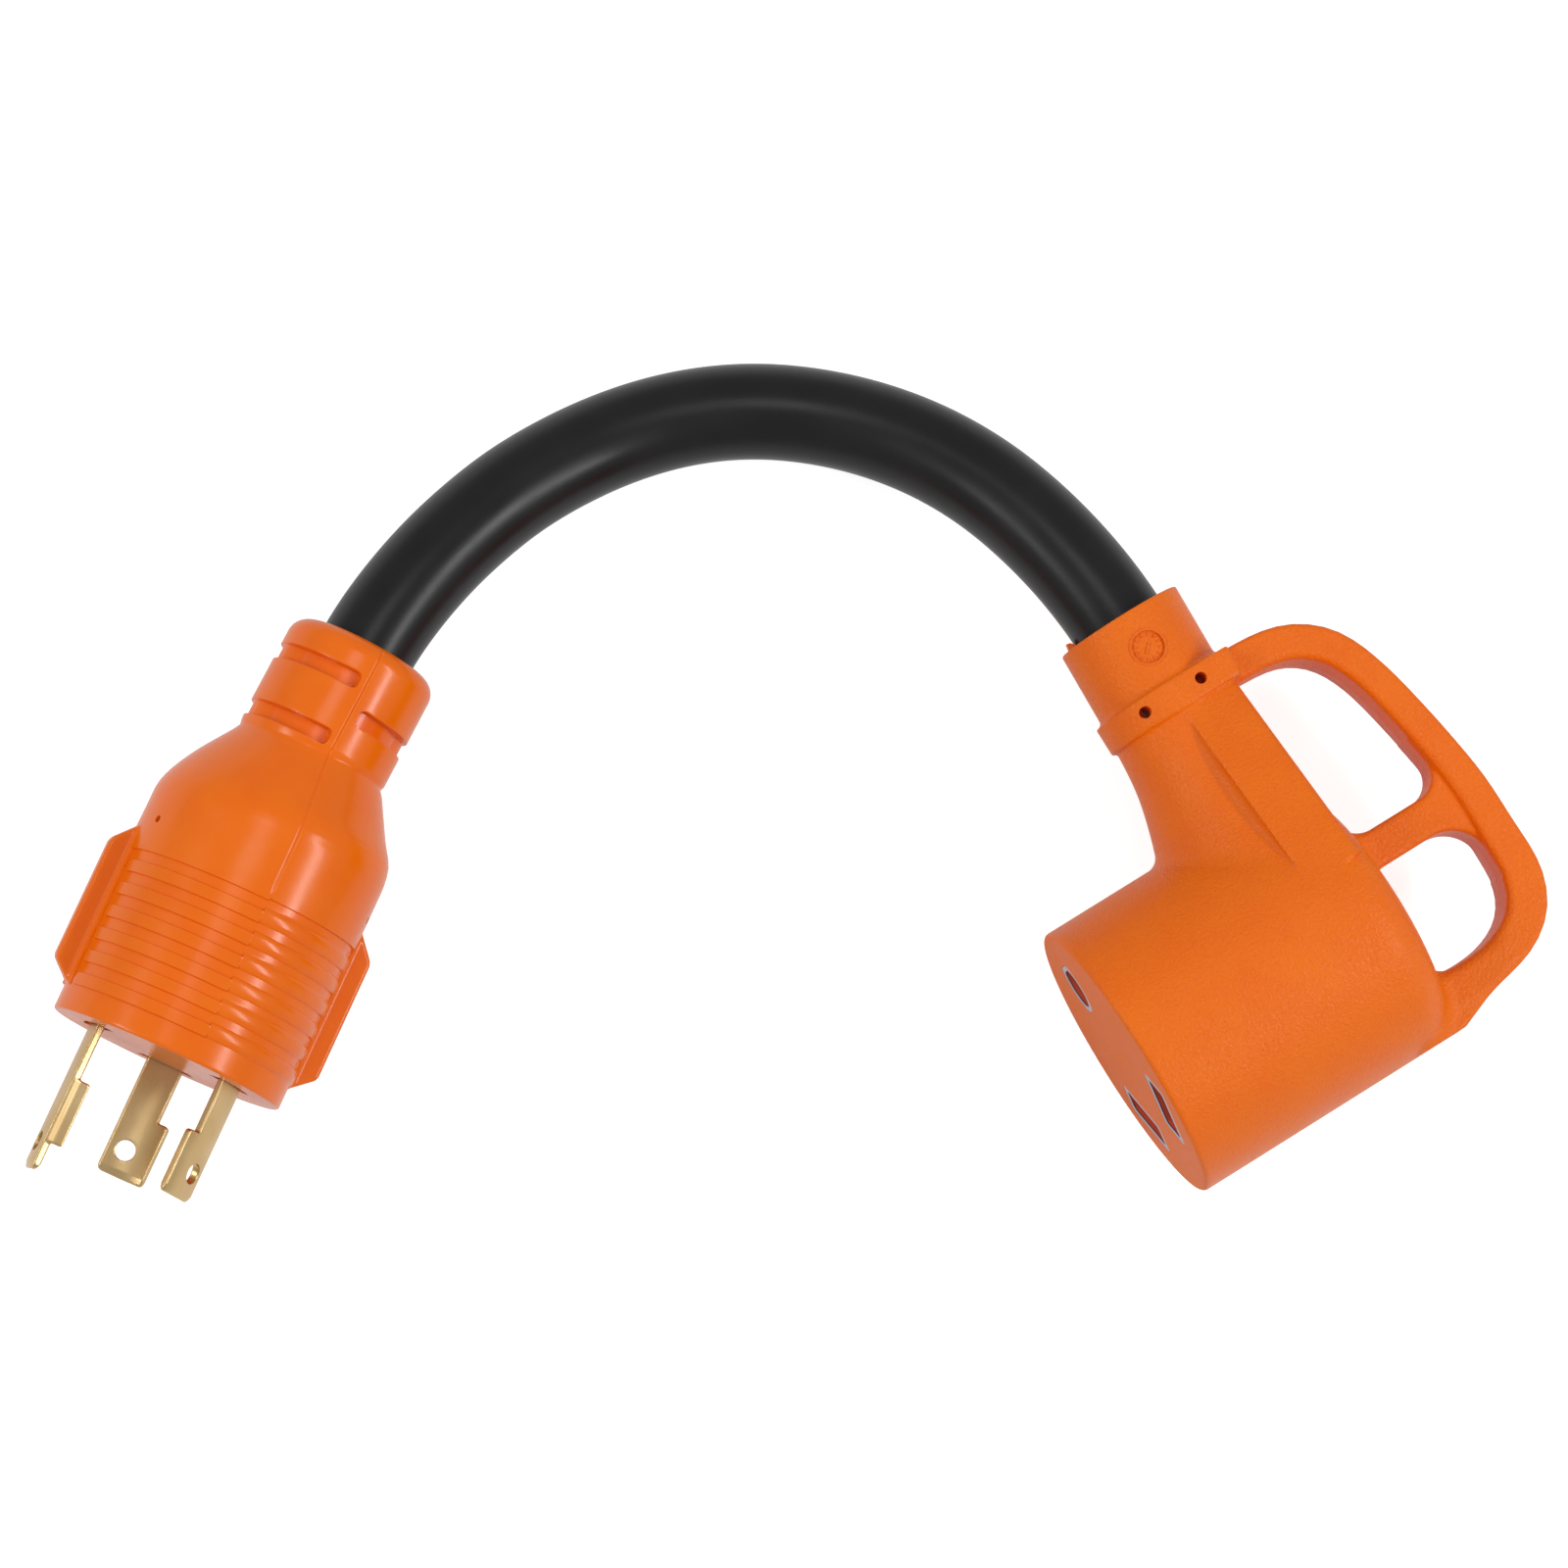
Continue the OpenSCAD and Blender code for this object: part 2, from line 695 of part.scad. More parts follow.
// The three openings of the face, drawn in the plane across the barrel and made deep
module openings(grow, from, to) {
    for (k = [0, 1])
        along_barrel()
            translate([slot_at[k].x, slot_at[k].y, from])
                rotate([0, 0, slot_tilt[k]])
                    linear_extrude(to - from)
                        slot_shape(slot_len + 2 * grow, slot_w + 2 * grow, slot_corner_r);
    along_barrel()
        translate([slot_at[2].x, slot_at[2].y, from])
            linear_extrude(to - from)
                ground_shape(ground_win_r + grow);
}

module neck_cavity(grow) {
    narrows_from = 28;
    narrows_to = 42;
    intersection() {
        along_neck()
            rotate_extrude()
                polygon([[0, 0], [neck_cavity_r + grow, 0], [neck_cavity_r + grow, narrows_from],
                    [wire_way_r + grow, narrows_to], [wire_way_r + grow, wire_way_end], [0, wire_way_end]]);
        block([-cavity_r, -bury, -cavity_r], [neck_cavity_x + grow, neck_len, cavity_r]);
    }
}

module socket_body() {
    vent_r = 1.1;
    vent_at = 5.9;
    vent_floor = 10.6;
    dial_r = 3.2;
    dial_x = 0.3;
    dial_from_end = 7;
    dial_depth = 0.5;
    color(overmould_orange)
        at_socket()
            difference() {
                union() {
                    barrel_solid();
                    neck_solid();
                    web();
                    handle();
                    strut();
                }
                along_barrel()
                    translate([0, 0, face_x + socket_wall])
                        cylinder(h = cavity_end + fit_gap - face_x - socket_wall, r = cavity_r);
                neck_cavity(fit_gap);
                translate([neck_x, wire_way_end - part_gap, 0])
                    along_neck()
                        cylinder(h = jacket_grip + 2 * bury, r = jacket_r + fit_gap);
                openings(0, face_x - bury, face_x + socket_wall + bury);
                for (x = [-vent_at, vent_at])
                    translate([x, (band_from + band_to) / 2, vent_floor])
                        cylinder(h = neck_r, r = vent_r);
                translate([dial_x, neck_len - dial_from_end, neck_r - dial_depth])
                    cylinder(h = neck_r, r = dial_r);
            }
}

// Rigid inner moulding behind the contacts, with ways for the three wires
module socket_inner_mould() {
    front = cover_back + part_gap;
    pocket_r = crimp_r + 2 * fit_gap;
    pocket_end = socket_crimp_x + crimp_len + 0.4;
    way_from = -8;
    color(mould_grey)
        difference() {
            at_socket() {
                along_barrel()
                    translate([0, 0, front])
                        cylinder(h = cavity_end - front, r = core_r);
                neck_cavity(0);
            }
            at_socket()
                for (s = slot_at)
                    along_barrel()
                        translate([s.x, s.y, front - bury])
                            cylinder(h = pocket_end - front + bury, r = pocket_r);
            for (k = [0:2])
                rod(concat([collar_stub(k)], socket_run(k),
                    [socket_point([way_from, slot_at[k].x, slot_at[k].y])]), wire_r + fit_gap, wire_sides);
        }
}

// A point just outside the inner moulding, from which a wire's way is cut
function collar_stub(k) = socket_point([neck_turn[k][0].x, neck_len - jacket_grip + 2, neck_turn[k][0].z]);

// The pale carrier of the contacts, open at the rear, with rims in the windows
module socket_core() {
    lip = 0.3;
    color(insert_grey)
        at_socket()
            difference() {
                union() {
                    along_barrel()
                        translate([0, 0, core_from])
                            cylinder(h = core_back - core_from, r = core_r);
                    openings(-fit_gap, face_x + lip, core_from + bury);
                }
                openings(-rim, face_x - bury, core_back + bury);
            }
}

module socket_core_cover() {
    front = core_back + part_gap;
    hole_r = 2;
    color(insert_grey)
        at_socket()
            difference() {
                along_barrel()
                    translate([0, 0, front])
                        cylinder(h = cover_back - front, r = core_r);
                along_barrel()
                    for (s = slot_at)
                        translate([s.x, s.y, front - bury])
                            cylinder(h = cover_back - front + 2 * bury, r = hole_r);
            }
}

// The tail of a contact passes through the cover and ends in a crimp
module contact_tail(k) {
    stem_r = 1.7;
    stem_from = core_back - 1.6;
    along_barrel()
        translate([slot_at[k].x, slot_at[k].y, 0])
            difference() {
                union() {
                    translate([0, 0, stem_from])
                        cylinder(h = socket_crimp_x + bury - stem_from, r = stem_r);
                    translate([0, 0, socket_crimp_x - 1])
                        cylinder(h = crimp_len + 1, r = crimp_r);
                }
                translate([0, 0, socket_crimp_x])
                    cylinder(h = crimp_len + bury, r = crimp_bore_r);
            }
}

// A folded spring contact: two leaves joined by a back plate
module contact_fold(k) {
    leaf_t = 0.8;
    length = slot_len - 2 * rim - 0.8;
    gap = 2;
    back_t = 1.2;
    leaf_back = core_back - 1;
    mouth = face_x + 4;
    color(brass)
        at_socket() {
            along_barrel()
                translate([slot_at[k].x, slot_at[k].y, 0])
                    rotate([0, 0, slot_tilt[k]]) {
                        for (side = [-1, 1])
                            translate([-length / 2, side * (gap + leaf_t) / 2 - leaf_t / 2, mouth])
                                cube([length, leaf_t, leaf_back - mouth]);
                        translate([-length / 2, -gap / 2 - leaf_t, core_back - 0.6 - back_t])
                            cube([length, gap + 2 * leaf_t, back_t]);
                    }
            contact_tail(k);
        }
}

module contact_line() {
    contact_fold(0);
}

module contact_neutral() {
    contact_fold(1);
}

// The grounding contact is a sleeve, closed at its back
module contact_ground() {
    sleeve_r = 3.5;
    leaf_t = 0.5;
    back_t = 1.2;
    sleeve_back = core_back - 0.6;
    mouth = face_x + 3;
    color(brass)
        at_socket() {
            along_barrel()
                translate([slot_at[2].x, slot_at[2].y, mouth])
                    difference() {
                        cylinder(h = sleeve_back - mouth, r = sleeve_r);
                        translate([0, 0, -bury])
                            cylinder(h = sleeve_back - back_t - mouth + bury, r = sleeve_r - leaf_t);
                    }
            contact_tail(2);
        }
}

plug_body();
plug_inner_mould();
plug_insert();
blade_line();
blade_neutral();
blade_ground();
cord_jacket();
cord_fillers();
wire(0, wire_black);  // wire_line
wire(1, wire_white);  // wire_neutral
wire(2, wire_green);  // wire_ground
copper(0);  // copper_line
copper(1);  // copper_neutral
copper(2);  // copper_ground
socket_body();
socket_inner_mould();
socket_core();
socket_core_cover();
contact_line();
contact_neutral();
contact_ground();
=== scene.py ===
import math

import bpy
import numpy as np
from mathutils import Matrix, Vector


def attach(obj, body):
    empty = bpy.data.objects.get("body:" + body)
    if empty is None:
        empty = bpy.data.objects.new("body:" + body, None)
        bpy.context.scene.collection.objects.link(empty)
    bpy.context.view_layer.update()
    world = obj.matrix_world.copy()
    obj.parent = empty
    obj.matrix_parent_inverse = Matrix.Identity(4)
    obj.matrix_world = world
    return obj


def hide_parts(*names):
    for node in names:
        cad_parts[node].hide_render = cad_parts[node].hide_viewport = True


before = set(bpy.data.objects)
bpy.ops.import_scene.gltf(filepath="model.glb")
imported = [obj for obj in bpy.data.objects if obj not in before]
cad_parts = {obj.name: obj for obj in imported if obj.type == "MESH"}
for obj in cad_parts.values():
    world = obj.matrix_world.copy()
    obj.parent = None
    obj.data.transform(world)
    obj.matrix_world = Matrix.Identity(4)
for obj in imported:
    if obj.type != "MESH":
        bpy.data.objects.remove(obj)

scene = bpy.context.scene
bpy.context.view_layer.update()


# ---- Camera ---------------------------------------------------------------------------
# A long lens looks down on the cord from above the plug, turned so that the bend of the
# cord stands at the top of the picture. Sizes are in millimetres in the whole file, and
# MM turns them to metres.
MM = 0.001
looked_at = Vector((21.5, 15.6, 22.0))
to_camera = Vector((-0.1155, -0.0308, 0.9928)).normalized()
up_in_picture = Vector((0.5262, 0.8504, 0.0))
camera_distance = 1000.0

camera = bpy.data.objects.new("camera", bpy.data.cameras.new("camera"))
scene.collection.objects.link(camera)
scene.camera = camera
picture_right = up_in_picture.cross(to_camera).normalized()
picture_up = to_camera.cross(picture_right)
turn = Matrix((picture_right, picture_up, to_camera)).transposed()
camera.matrix_world = Matrix.Translation((looked_at + to_camera * camera_distance) * MM) @ turn.to_4x4()
camera.data.sensor_width = 36.0
camera.data.lens = 126.0
camera.data.clip_start = 0.05
camera.data.clip_end = 10.0


# ---- Cord jacket ----------------------------------------------------------------------
# The sheath of a heavy flexible cord: black thermoplastic rubber, extruded over the three
# wires and their fillers. It keeps the bend that it was coiled with and its lowest part
# lies on the table. Both ends are gripped by the overmoulds.
socket_at = np.array([88.5, -60.0, 0.0])
cord_route = socket_at + np.array([
    (-119.0, 135.92, 20.51), (-107.8, 141.1, 19.2), (-98.5, 144.2, 17.5), (-89.0, 146.4, 15.5),
    (-79.6, 147.7, 13.5), (-70.2, 147.9, 11.7), (-61.1, 147.2, 10.2), (-51.7, 145.4, 9.3),
    (-42.7, 142.4, 9.0), (-34.1, 138.1, 9.1), (-24.6, 131.1, 10.2), (-16.5, 122.7, 12.2),
    (-10.0, 113.2, 14.9), (-5.3, 103.1, 17.7), (-2.2, 92.6, 20.4), (-0.2, 81.5, 22.7),
    (0.7, 68.9, 24.3)])
cord_d = 17.8
cord_bore_d = 12.9
jacket_grip = 14.0
straight_in = 6.0
above_table = 0.06
jacket_sides = 72
plug_len = 82.6
plug_pivot = 50.0
plug_heading, plug_pitch, plug_roll, collar_lean = 31.0, 3.0, 14.0, 3.0
neck_len = 69.0
neck_x = 0.7
socket_roll = -2.5


def turned(degrees, axis):
    return Matrix.Rotation(math.radians(degrees), 4, axis)


def moved(x, y, z):
    return Matrix.Translation((x, y, z))


# Where the plug's collar, the plug's body and the socket lie, as the CAD places them
collar_place = (moved(*cord_route[0]) @ turned(90 + plug_heading, "Z") @ turned(90 + plug_pitch, "X")
                @ moved(0, 0, -plug_len))
plug_place = (collar_place @ moved(0, 0, plug_pivot) @ turned(collar_lean, "Y") @ turned(plug_roll, "Z")
              @ moved(0, 0, -plug_pivot))
socket_place = moved(*cord_route[-1]) @ turned(socket_roll, "X") @ moved(-neck_x, -neck_len, 0)


def placed(points, place):
    """Points moved by a placing matrix."""
    m = np.array(place)
    return np.asarray(points) @ m[:3, :3].T + m[:3, 3]


def smooth_route(points, step):
    """A route with a point every step or so, on a smooth curve through the given points."""
    knots = np.r_[0, np.cumsum(np.linalg.norm(np.diff(points, axis=0), axis=1))]
    gaps = np.diff(knots)
    slopes = np.diff(points, axis=0) / gaps[:, None]
    count = len(points)
    rows = np.eye(count)
    ends = np.zeros((count, 3))
    for i in range(1, count - 1):
        rows[i, i - 1:i + 2] = gaps[i - 1], 2 * (gaps[i - 1] + gaps[i]), gaps[i]
        ends[i] = 6 * (slopes[i] - slopes[i - 1])
    bend = np.linalg.solve(rows, ends)
    along = np.linspace(0, knots[-1], round(knots[-1] / step) + 1)
    i = np.clip(np.searchsorted(knots, along, "right") - 1, 0, count - 2)
    left = (knots[i + 1] - along)[:, None]
    right = (along - knots[i])[:, None]
    h = gaps[i][:, None]
    return ((bend[i] * left ** 3 + bend[i + 1] * right ** 3) / (6 * h)
            + (points[i] / h - bend[i] * h / 6) * left
            + (points[i + 1] / h - bend[i + 1] * h / 6) * right)


def mesh_piece(name, points, faces, smooth=True):
    """A mesh object from points in millimetres."""
    mesh = bpy.data.meshes.new(name)
    mesh.from_pydata((np.asarray(points) * MM).tolist(), [], faces)
    mesh.validate()
    if smooth:
        mesh.shade_smooth()
    piece = bpy.data.objects.new(name, mesh)
    scene.collection.objects.link(piece)
    return piece


def rings_along(route, radius, sides):
    """Round rings of points square to a route, one at each of its points."""
    heading = np.gradient(route, axis=0)
    heading /= np.linalg.norm(heading, axis=1)[:, None]
    side = np.cross([0.0, 0.0, 1.0], heading)
    side /= np.linalg.norm(side, axis=1)[:, None]
    rise = np.cross(heading, side)
    angle = np.linspace(0, 2 * math.pi, sides, endpoint=False)
    return (route[:, None] + radius * (side[:, None] * np.cos(angle)[:, None]
                                       + rise[:, None] * np.sin(angle)[:, None])).reshape(-1, 3)


def tube_faces(rows, sides, first, inward):
    """The faces that join rings to the next ones."""
    faces = []
    for i in range(rows - 1):
        for k in range(sides):
            a, b = first + i * sides + k, first + i * sides + (k + 1) % sides
            face = (a, b, b + sides, a + sides)
            faces.append(face[::-1] if inward else face)
    return faces


jacket_route = smooth_route(np.vstack([
    placed([(0, 0, plug_len - jacket_grip), (0, 0, plug_len - straight_in)], collar_place),
    cord_route,
    placed([(neck_x, neck_len - straight_in, 0), (neck_x, neck_len - jacket_grip, 0)], socket_place)]), 1.2)
jacket_route[:, 2] = np.maximum(jacket_route[:, 2], cord_d / 2 + above_table)
rows = len(jacket_route)
jacket_points = np.vstack([rings_along(jacket_route, cord_d / 2, jacket_sides),
                           rings_along(jacket_route, cord_bore_d / 2, jacket_sides)])
jacket_faces = (tube_faces(rows, jacket_sides, 0, False)
                + tube_faces(rows, jacket_sides, rows * jacket_sides, True))
# Flat rings of faces close the sheath's wall at both ends
for row, flip in ((0, False), (rows - 1, True)):
    for k in range(jacket_sides):
        n = (k + 1) % jacket_sides
        a, b = row * jacket_sides + k, row * jacket_sides + n
        c, d = a + rows * jacket_sides, b + rows * jacket_sides
        jacket_faces.append((a, c, d, b) if not flip else (a, b, d, c))
jacket = mesh_piece("cord_jacket_sheath", jacket_points, jacket_faces)


def linear(hex_colour):
    """An sRGB hex colour as linear red, green, blue and alpha."""
    parts = [int(hex_colour[i:i + 2], 16) / 255 for i in (1, 3, 5)]
    return [p / 12.92 if p <= 0.04045 else ((p + 0.055) / 1.055) ** 2.4 for p in parts] + [1.0]


def add(material, kind, inputs, stops=(), **settings):
    """Adds one node. Inputs are values or other nodes' sockets, and stops are a ramp's colours."""
    node = material.node_tree.nodes.new(kind)
    for name, value in settings.items():
        setattr(node, name, value)
    for name, value in inputs.items():
        if isinstance(value, bpy.types.NodeSocket):
            material.node_tree.links.new(value, node.inputs[name])
        else:
            node.inputs[name].default_value = value
    for index, (place, colour) in enumerate(stops):
        node.color_ramp.elements[index].position = place
        node.color_ramp.elements[index].color = colour
    return node


def new_material(name):
    material = bpy.data.materials.new(name)
    material.use_nodes = True
    material.node_tree.nodes.clear()
    return material


def finish_with(material, shader):
    add(material, "ShaderNodeOutputMaterial", {"Surface": shader.outputs[0]})
    return material


# Extruded thermoplastic rubber: deep grey-black and softly glossy, with a fine dry grain
# that breaks up its sheen and wide patches that are a little duller.
def extruded_rubber():
    rubber = new_material("extruded_thermoplastic_rubber")
    place = add(rubber, "ShaderNodeTexCoord", {})
    grain = add(rubber, "ShaderNodeTexNoise", {
        "Vector": place.outputs["Object"], "Scale": 1 / (0.5 * MM), "Detail": 4.0, "Roughness": 0.6})
    patches = add(rubber, "ShaderNodeTexNoise", {
        "Vector": place.outputs["Object"], "Scale": 1 / (14 * MM), "Detail": 3.0})
    tone = add(rubber, "ShaderNodeValToRGB", {"Fac": patches.outputs["Fac"]},
               stops=[(0.3, linear("#101012")), (0.7, linear("#161618"))])
    dryness = add(rubber, "ShaderNodeMapRange", {
        "Value": patches.outputs["Fac"], "From Min": 0.3, "From Max": 0.7, "To Min": 0.29, "To Max": 0.35})
    relief = add(rubber, "ShaderNodeBump", {
        "Height": grain.outputs["Fac"], "Strength": 0.35, "Distance": 0.03 * MM})
    shader = add(rubber, "ShaderNodeBsdfPrincipled", {
        "Base Color": tone.outputs["Color"], "Roughness": dryness.outputs["Result"],
        "Normal": relief.outputs["Normal"], "IOR": 1.5, "Specular IOR Level": 0.3})
    return finish_with(rubber, shader)


jacket.data.materials.append(extruded_rubber())
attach(jacket, "root")
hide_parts("cord_jacket")


# ---- Socket overmould -----------------------------------------------------------------
# One soft PVC moulding makes the barrel, the neck with its web, the band, the collar and
# the pull handle with its strut. Every inside corner has a fillet from the mould, so its
# skin is worked out from formulas that round the joins.
barrel_r = 27.27
face_x = -41.6
rear_x = 13.4
face_wall = 2.5
neck_mouth_r = 11.4
neck_band_r = 13.1
neck_band_y = 51.5
neck_band_half_w = 2.8
neck_collar_r = 12.25
collar_tilt = 0.035
web_half_h = 12.0
web_end_y = 48.7
web_slope = 0.345
handle_half_h = 7.0
strut_y = 8.9
strut_half_w = 3.5
strut_half_h = 5.5
arm_half_h = 6.4
handle_line = [
    (4, 50.9), (16, 50.8), (23.8, 49.5), (29.9, 45.2), (33.5, 38.4), (35.9, 28.8), (37.7, 18.4),
    (38.7, 8.3), (38.6, -1.1), (38.0, -9.8), (34.8, -15.5), (28.5, -19.2), (19.7, -20.4), (9.0, -19.8)]
slot_places = [(-10.7, -12.9, -45), (-10.7, 12.9, 45)]
ground_place = (16.1, 0.0)
socket_grid = 0.42


def round_max(a, b, radius):
    """What two shapes share, with an outside corner of that radius."""
    return (np.minimum(np.maximum(a, b), -radius)
            + np.hypot(np.maximum(a + radius, 0), np.maximum(b + radius, 0)))


def round_min(a, b, radius):
    """Two shapes together, with a hollow fillet of that radius where they meet."""
    return (np.maximum(np.minimum(a, b), radius)
            - np.hypot(np.maximum(radius - a, 0), np.maximum(radius - b, 0)))


def moulded_skin(name, shape, low, high, step, place, bend=None):
    """A closed skin round the space where shape(x, y, z) is below nought."""
    axes = [np.arange(a - 1.5 * step, b + 2.5 * step, step) for a, b in zip(low, high)]
    x, y, z = np.meshgrid(*axes, indexing="ij", sparse=True)
    field = np.ascontiguousarray(np.broadcast_to(shape(x, y, z), [len(a) for a in axes])).astype(np.float32)
    inside = field < 0
    corner = [(i, j, k) for i in (0, 1) for j in (0, 1) for k in (0, 1)]
    part = [slice(0, -1), slice(1, None)]
    filled = sum(inside[part[i], part[j], part[k]].astype(np.uint8) for i, j, k in corner)
    cells = np.argwhere((filled > 0) & (filled < 8))
    number = np.full(filled.shape, -1, np.int64)
    number[tuple(cells.T)] = np.arange(len(cells))
    total = np.zeros((len(cells), 3))
    hits = np.zeros(len(cells))
    for a in corner:
        for axis in range(3):
            if a[axis]:
                continue
            b = tuple(1 if n == axis else v for n, v in enumerate(a))
            da = field[tuple((cells + a).T)]
            db = field[tuple((cells + b).T)]
            crossed = (da < 0) != (db < 0)
            share = np.where(crossed, da / np.where(crossed, da - db, 1), 0)
            spot = np.tile(np.array(a, float), (len(cells), 1))
            spot[:, axis] += share
            total[crossed] += spot[crossed]
            hits += crossed
    points = np.array([a[0] for a in axes]) + step * (cells + total / hits[:, None])
    faces = []
    for axis in range(3):
        others = [n for n in range(3) if n != axis]
        low_side = [slice(None)] * 3
        high_side = [slice(None)] * 3
        low_side[axis], high_side[axis] = slice(0, -1), slice(1, None)
        turned_in = inside[tuple(low_side)] != inside[tuple(high_side)]
        edge = np.argwhere(turned_in)
        edge = edge[(edge[:, others] > 0).all(axis=1)]
        down_u = np.eye(3, dtype=int)[others[0]]
        down_v = np.eye(3, dtype=int)[others[1]]
        ring = [number[tuple((edge - u - v).T)]
                for u, v in ((down_u, down_v), (0, down_v), (0, 0), (down_u, 0))]
        quad = np.stack(ring, 1)
        forward = inside[tuple(edge.T)]
        if axis == 1:
            forward = ~forward
        quad[~forward] = quad[~forward][:, ::-1]
        faces.append(quad)
    reach = 0.02
    for _ in range(3):
        px, py, pz = points.T
        gradient = np.stack([
            shape(px + reach, py, pz) - shape(px - reach, py, pz),
            shape(px, py + reach, pz) - shape(px, py - reach, pz),
            shape(px, py, pz + reach) - shape(px, py, pz - reach)], 1) / (2 * reach)
        move = shape(px, py, pz)[:, None] * gradient / np.maximum((gradient ** 2).sum(1), 0.2)[:, None]
        points = points - np.clip(move, -step / 2, step / 2)
    points = np.clip(points, low, high)
    if bend:
        points = bend(points)
    return mesh_piece(name, placed(points, place), np.vstack(faces).tolist())


def sideways(x, y, line):
    """How far a spot lies beside a line of points, and how far along the line that is."""
    shape = np.broadcast(x, y).shape
    best = np.full(shape, 1e9)
    along = np.zeros(shape)
    for i, ((ax, ay), (bx, by)) in enumerate(zip(line[:-1], line[1:])):
        dx, dy = bx - ax, by - ay
        t = np.clip(((x - ax) * dx + (y - ay) * dy) / (dx * dx + dy * dy), 0, 1)
        distance = np.hypot(x - ax - t * dx, y - ay - t * dy)
        outside = np.sign((x - ax) * dy - (y - ay) * dx)
        nearer = distance < np.abs(best)
        best = np.where(nearer, np.where(outside < 0, distance, -distance), best)
        along = np.where(nearer, (i + t) / (len(line) - 1), along)
    return best, along


handle_route = smooth_route(np.array([(x, y, 0.0) for x, y in handle_line]), 2.4)[:, :2].tolist()


def handle_shape(x, y, z):
    beside, along = sideways(x, y, handle_route)
    half_width = np.interp(along, [0, 0.11, 0.24, 0.31, 0.49, 0.59, 0.67, 0.76, 0.82, 0.88, 1],
                           [3.6, 3.58, 3.5, 3.35, 3.4, 3.6, 3.8, 3.93, 3.75, 3.5, 3.9])
    draft = 0.05 * np.abs(z)
    rounding = np.where(beside > 0, 0.9, 1.4)
    across = np.abs(beside) - half_width + draft + rounding
    up = np.abs(z) - handle_half_h + rounding
    bar = (np.hypot(np.maximum(across, 0), np.maximum(up, 0))
           + np.minimum(np.maximum(across, up), 0) - rounding)
    # The lower arm widens toward the barrel, with a straight outer side
    wedge = round_max(0.357 * (x - 13.5) - 0.934 * (y + 27.3), y + 17.3, 1.5)
    wedge = np.maximum(np.maximum(wedge, x - 29), 6 - x)
    return round_min(bar, round_max(wedge, np.abs(z) - handle_half_h, 1.1), 1.2)


def socket_shape(x, y, z):
    flat_z = np.abs(z)
    barrel = round_max(np.hypot(y, z) - barrel_r, x - rear_x, 7.5)
    barrel = round_max(barrel, face_x - x, 0.8)
    rho = np.hypot(x, z)
    rise = np.clip(56 - y, 0, 50)
    flare = (rho - neck_mouth_r - rise ** 2 / 150) / np.hypot(1, rise / 75)
    flare = np.maximum(np.maximum(np.maximum(flare, y - 50), x - 9), 12 - y)
    web = (flat_z - web_half_h - (web_end_y - y) * web_slope) / math.hypot(1, web_slope)
    web = round_max(web, x - 11.4, 2.0)
    web = round_max(web, -x, 0.35)
    web = np.maximum(np.maximum(web, y - 50), 9.5 - y)
    body = round_min(barrel, flare, np.interp(flat_z, [9, 21], [2.0, 0.5]))
    body = round_min(body, web, np.interp(y, [12, 24, 40, 47], [0.05, 2.0, 2.0, 0.2]))
    rear = np.maximum(round_max(flat_z - 12.8, x - 13.3, 1.6), -x)
    band = round_max(np.minimum(rho - neck_band_r, rear), np.abs(y - neck_band_y) - neck_band_half_w, 0.35)
    body = round_min(body, band, 0.5)
    # The collar leans back a little from the neck
    collar = np.hypot(x - neck_x - collar_tilt * (y - 62), z) - neck_collar_r
    collar = round_max(collar, y - neck_len, 0.35)
    body = round_min(body, np.maximum(collar, 40 - y), 1.0)
    fillet = np.interp(y, [-26, -16, -10, 12, 32, 44], [3.0, 3.4, 3.4, 3.0, 2.0, 1.0])
    body = round_min(body, handle_shape(x, y, z), fillet)
    # The strut runs into the handle below its flat top, with wide corners in its own plane
    beside = sideways(x, y, handle_route)[0]
    from_strut = np.abs(y - strut_y)
    strut = round_min(from_strut - strut_half_w, -beside - 3.4, np.interp(y, [6, 12], [7.5, 5.5]))
    strut = round_max(np.maximum(strut, beside), flat_z - strut_half_h, 1.0)
    strut = np.maximum(np.maximum(strut, from_strut - 14), 5 - x)
    near_barrel = np.interp(y, [2, 16], [3.0, 6.0])
    body = round_min(body, strut, np.interp(x, [19, 28], [1, 0]) * near_barrel + 0.5)
    # The lower opening ends in a round corner between the barrel and the arm
    corner = round_min(barrel, -beside - 3.5, 5.0)
    corner = round_max(np.maximum(corner, beside), flat_z - arm_half_h, 1.2)
    body = round_min(body, np.maximum(np.maximum(corner, y + 8), 6 - x), 0.8)
    # The handle's lower arm doesn't reach past the side of the barrel
    return np.maximum(body, 0.044 * flat_z - barrel_r - y)


socket = moulded_skin("socket_overmould", socket_shape, (face_x, -barrel_r, -barrel_r),
                      (43.4, neck_len, barrel_r), socket_grid, Matrix.Identity(4))


def cutter(name, outline, depth, place):
    """A plug of any outline, drawn flat and made deep, for cutting an opening."""
    count = len(outline)
    points = [(u, v, w) for w in depth for u, v in outline]
    faces = [tuple(reversed(range(count))), tuple(range(count, 2 * count))]
    faces += [(k, (k + 1) % count, count + (k + 1) % count, count + k) for k in range(count)]
    return mesh_piece(name, placed(points, place), faces, smooth=False)


def circle(radius, sides=96):
    return [(radius * math.cos(2 * math.pi * k / sides), radius * math.sin(2 * math.pi * k / sides))
            for k in range(sides)]


def rounded_slot(length, width, radius, steps=6):
    spots = []
    for quarter, (sx, sy) in enumerate(((1, 1), (-1, 1), (-1, -1), (1, -1))):
        for k in range(steps + 1):
            angle = math.radians(90 * (quarter + k / steps))
            spots.append((sx * (length / 2 - radius) + radius * math.cos(angle),
                          sy * (width / 2 - radius) + radius * math.sin(angle)))
    return spots


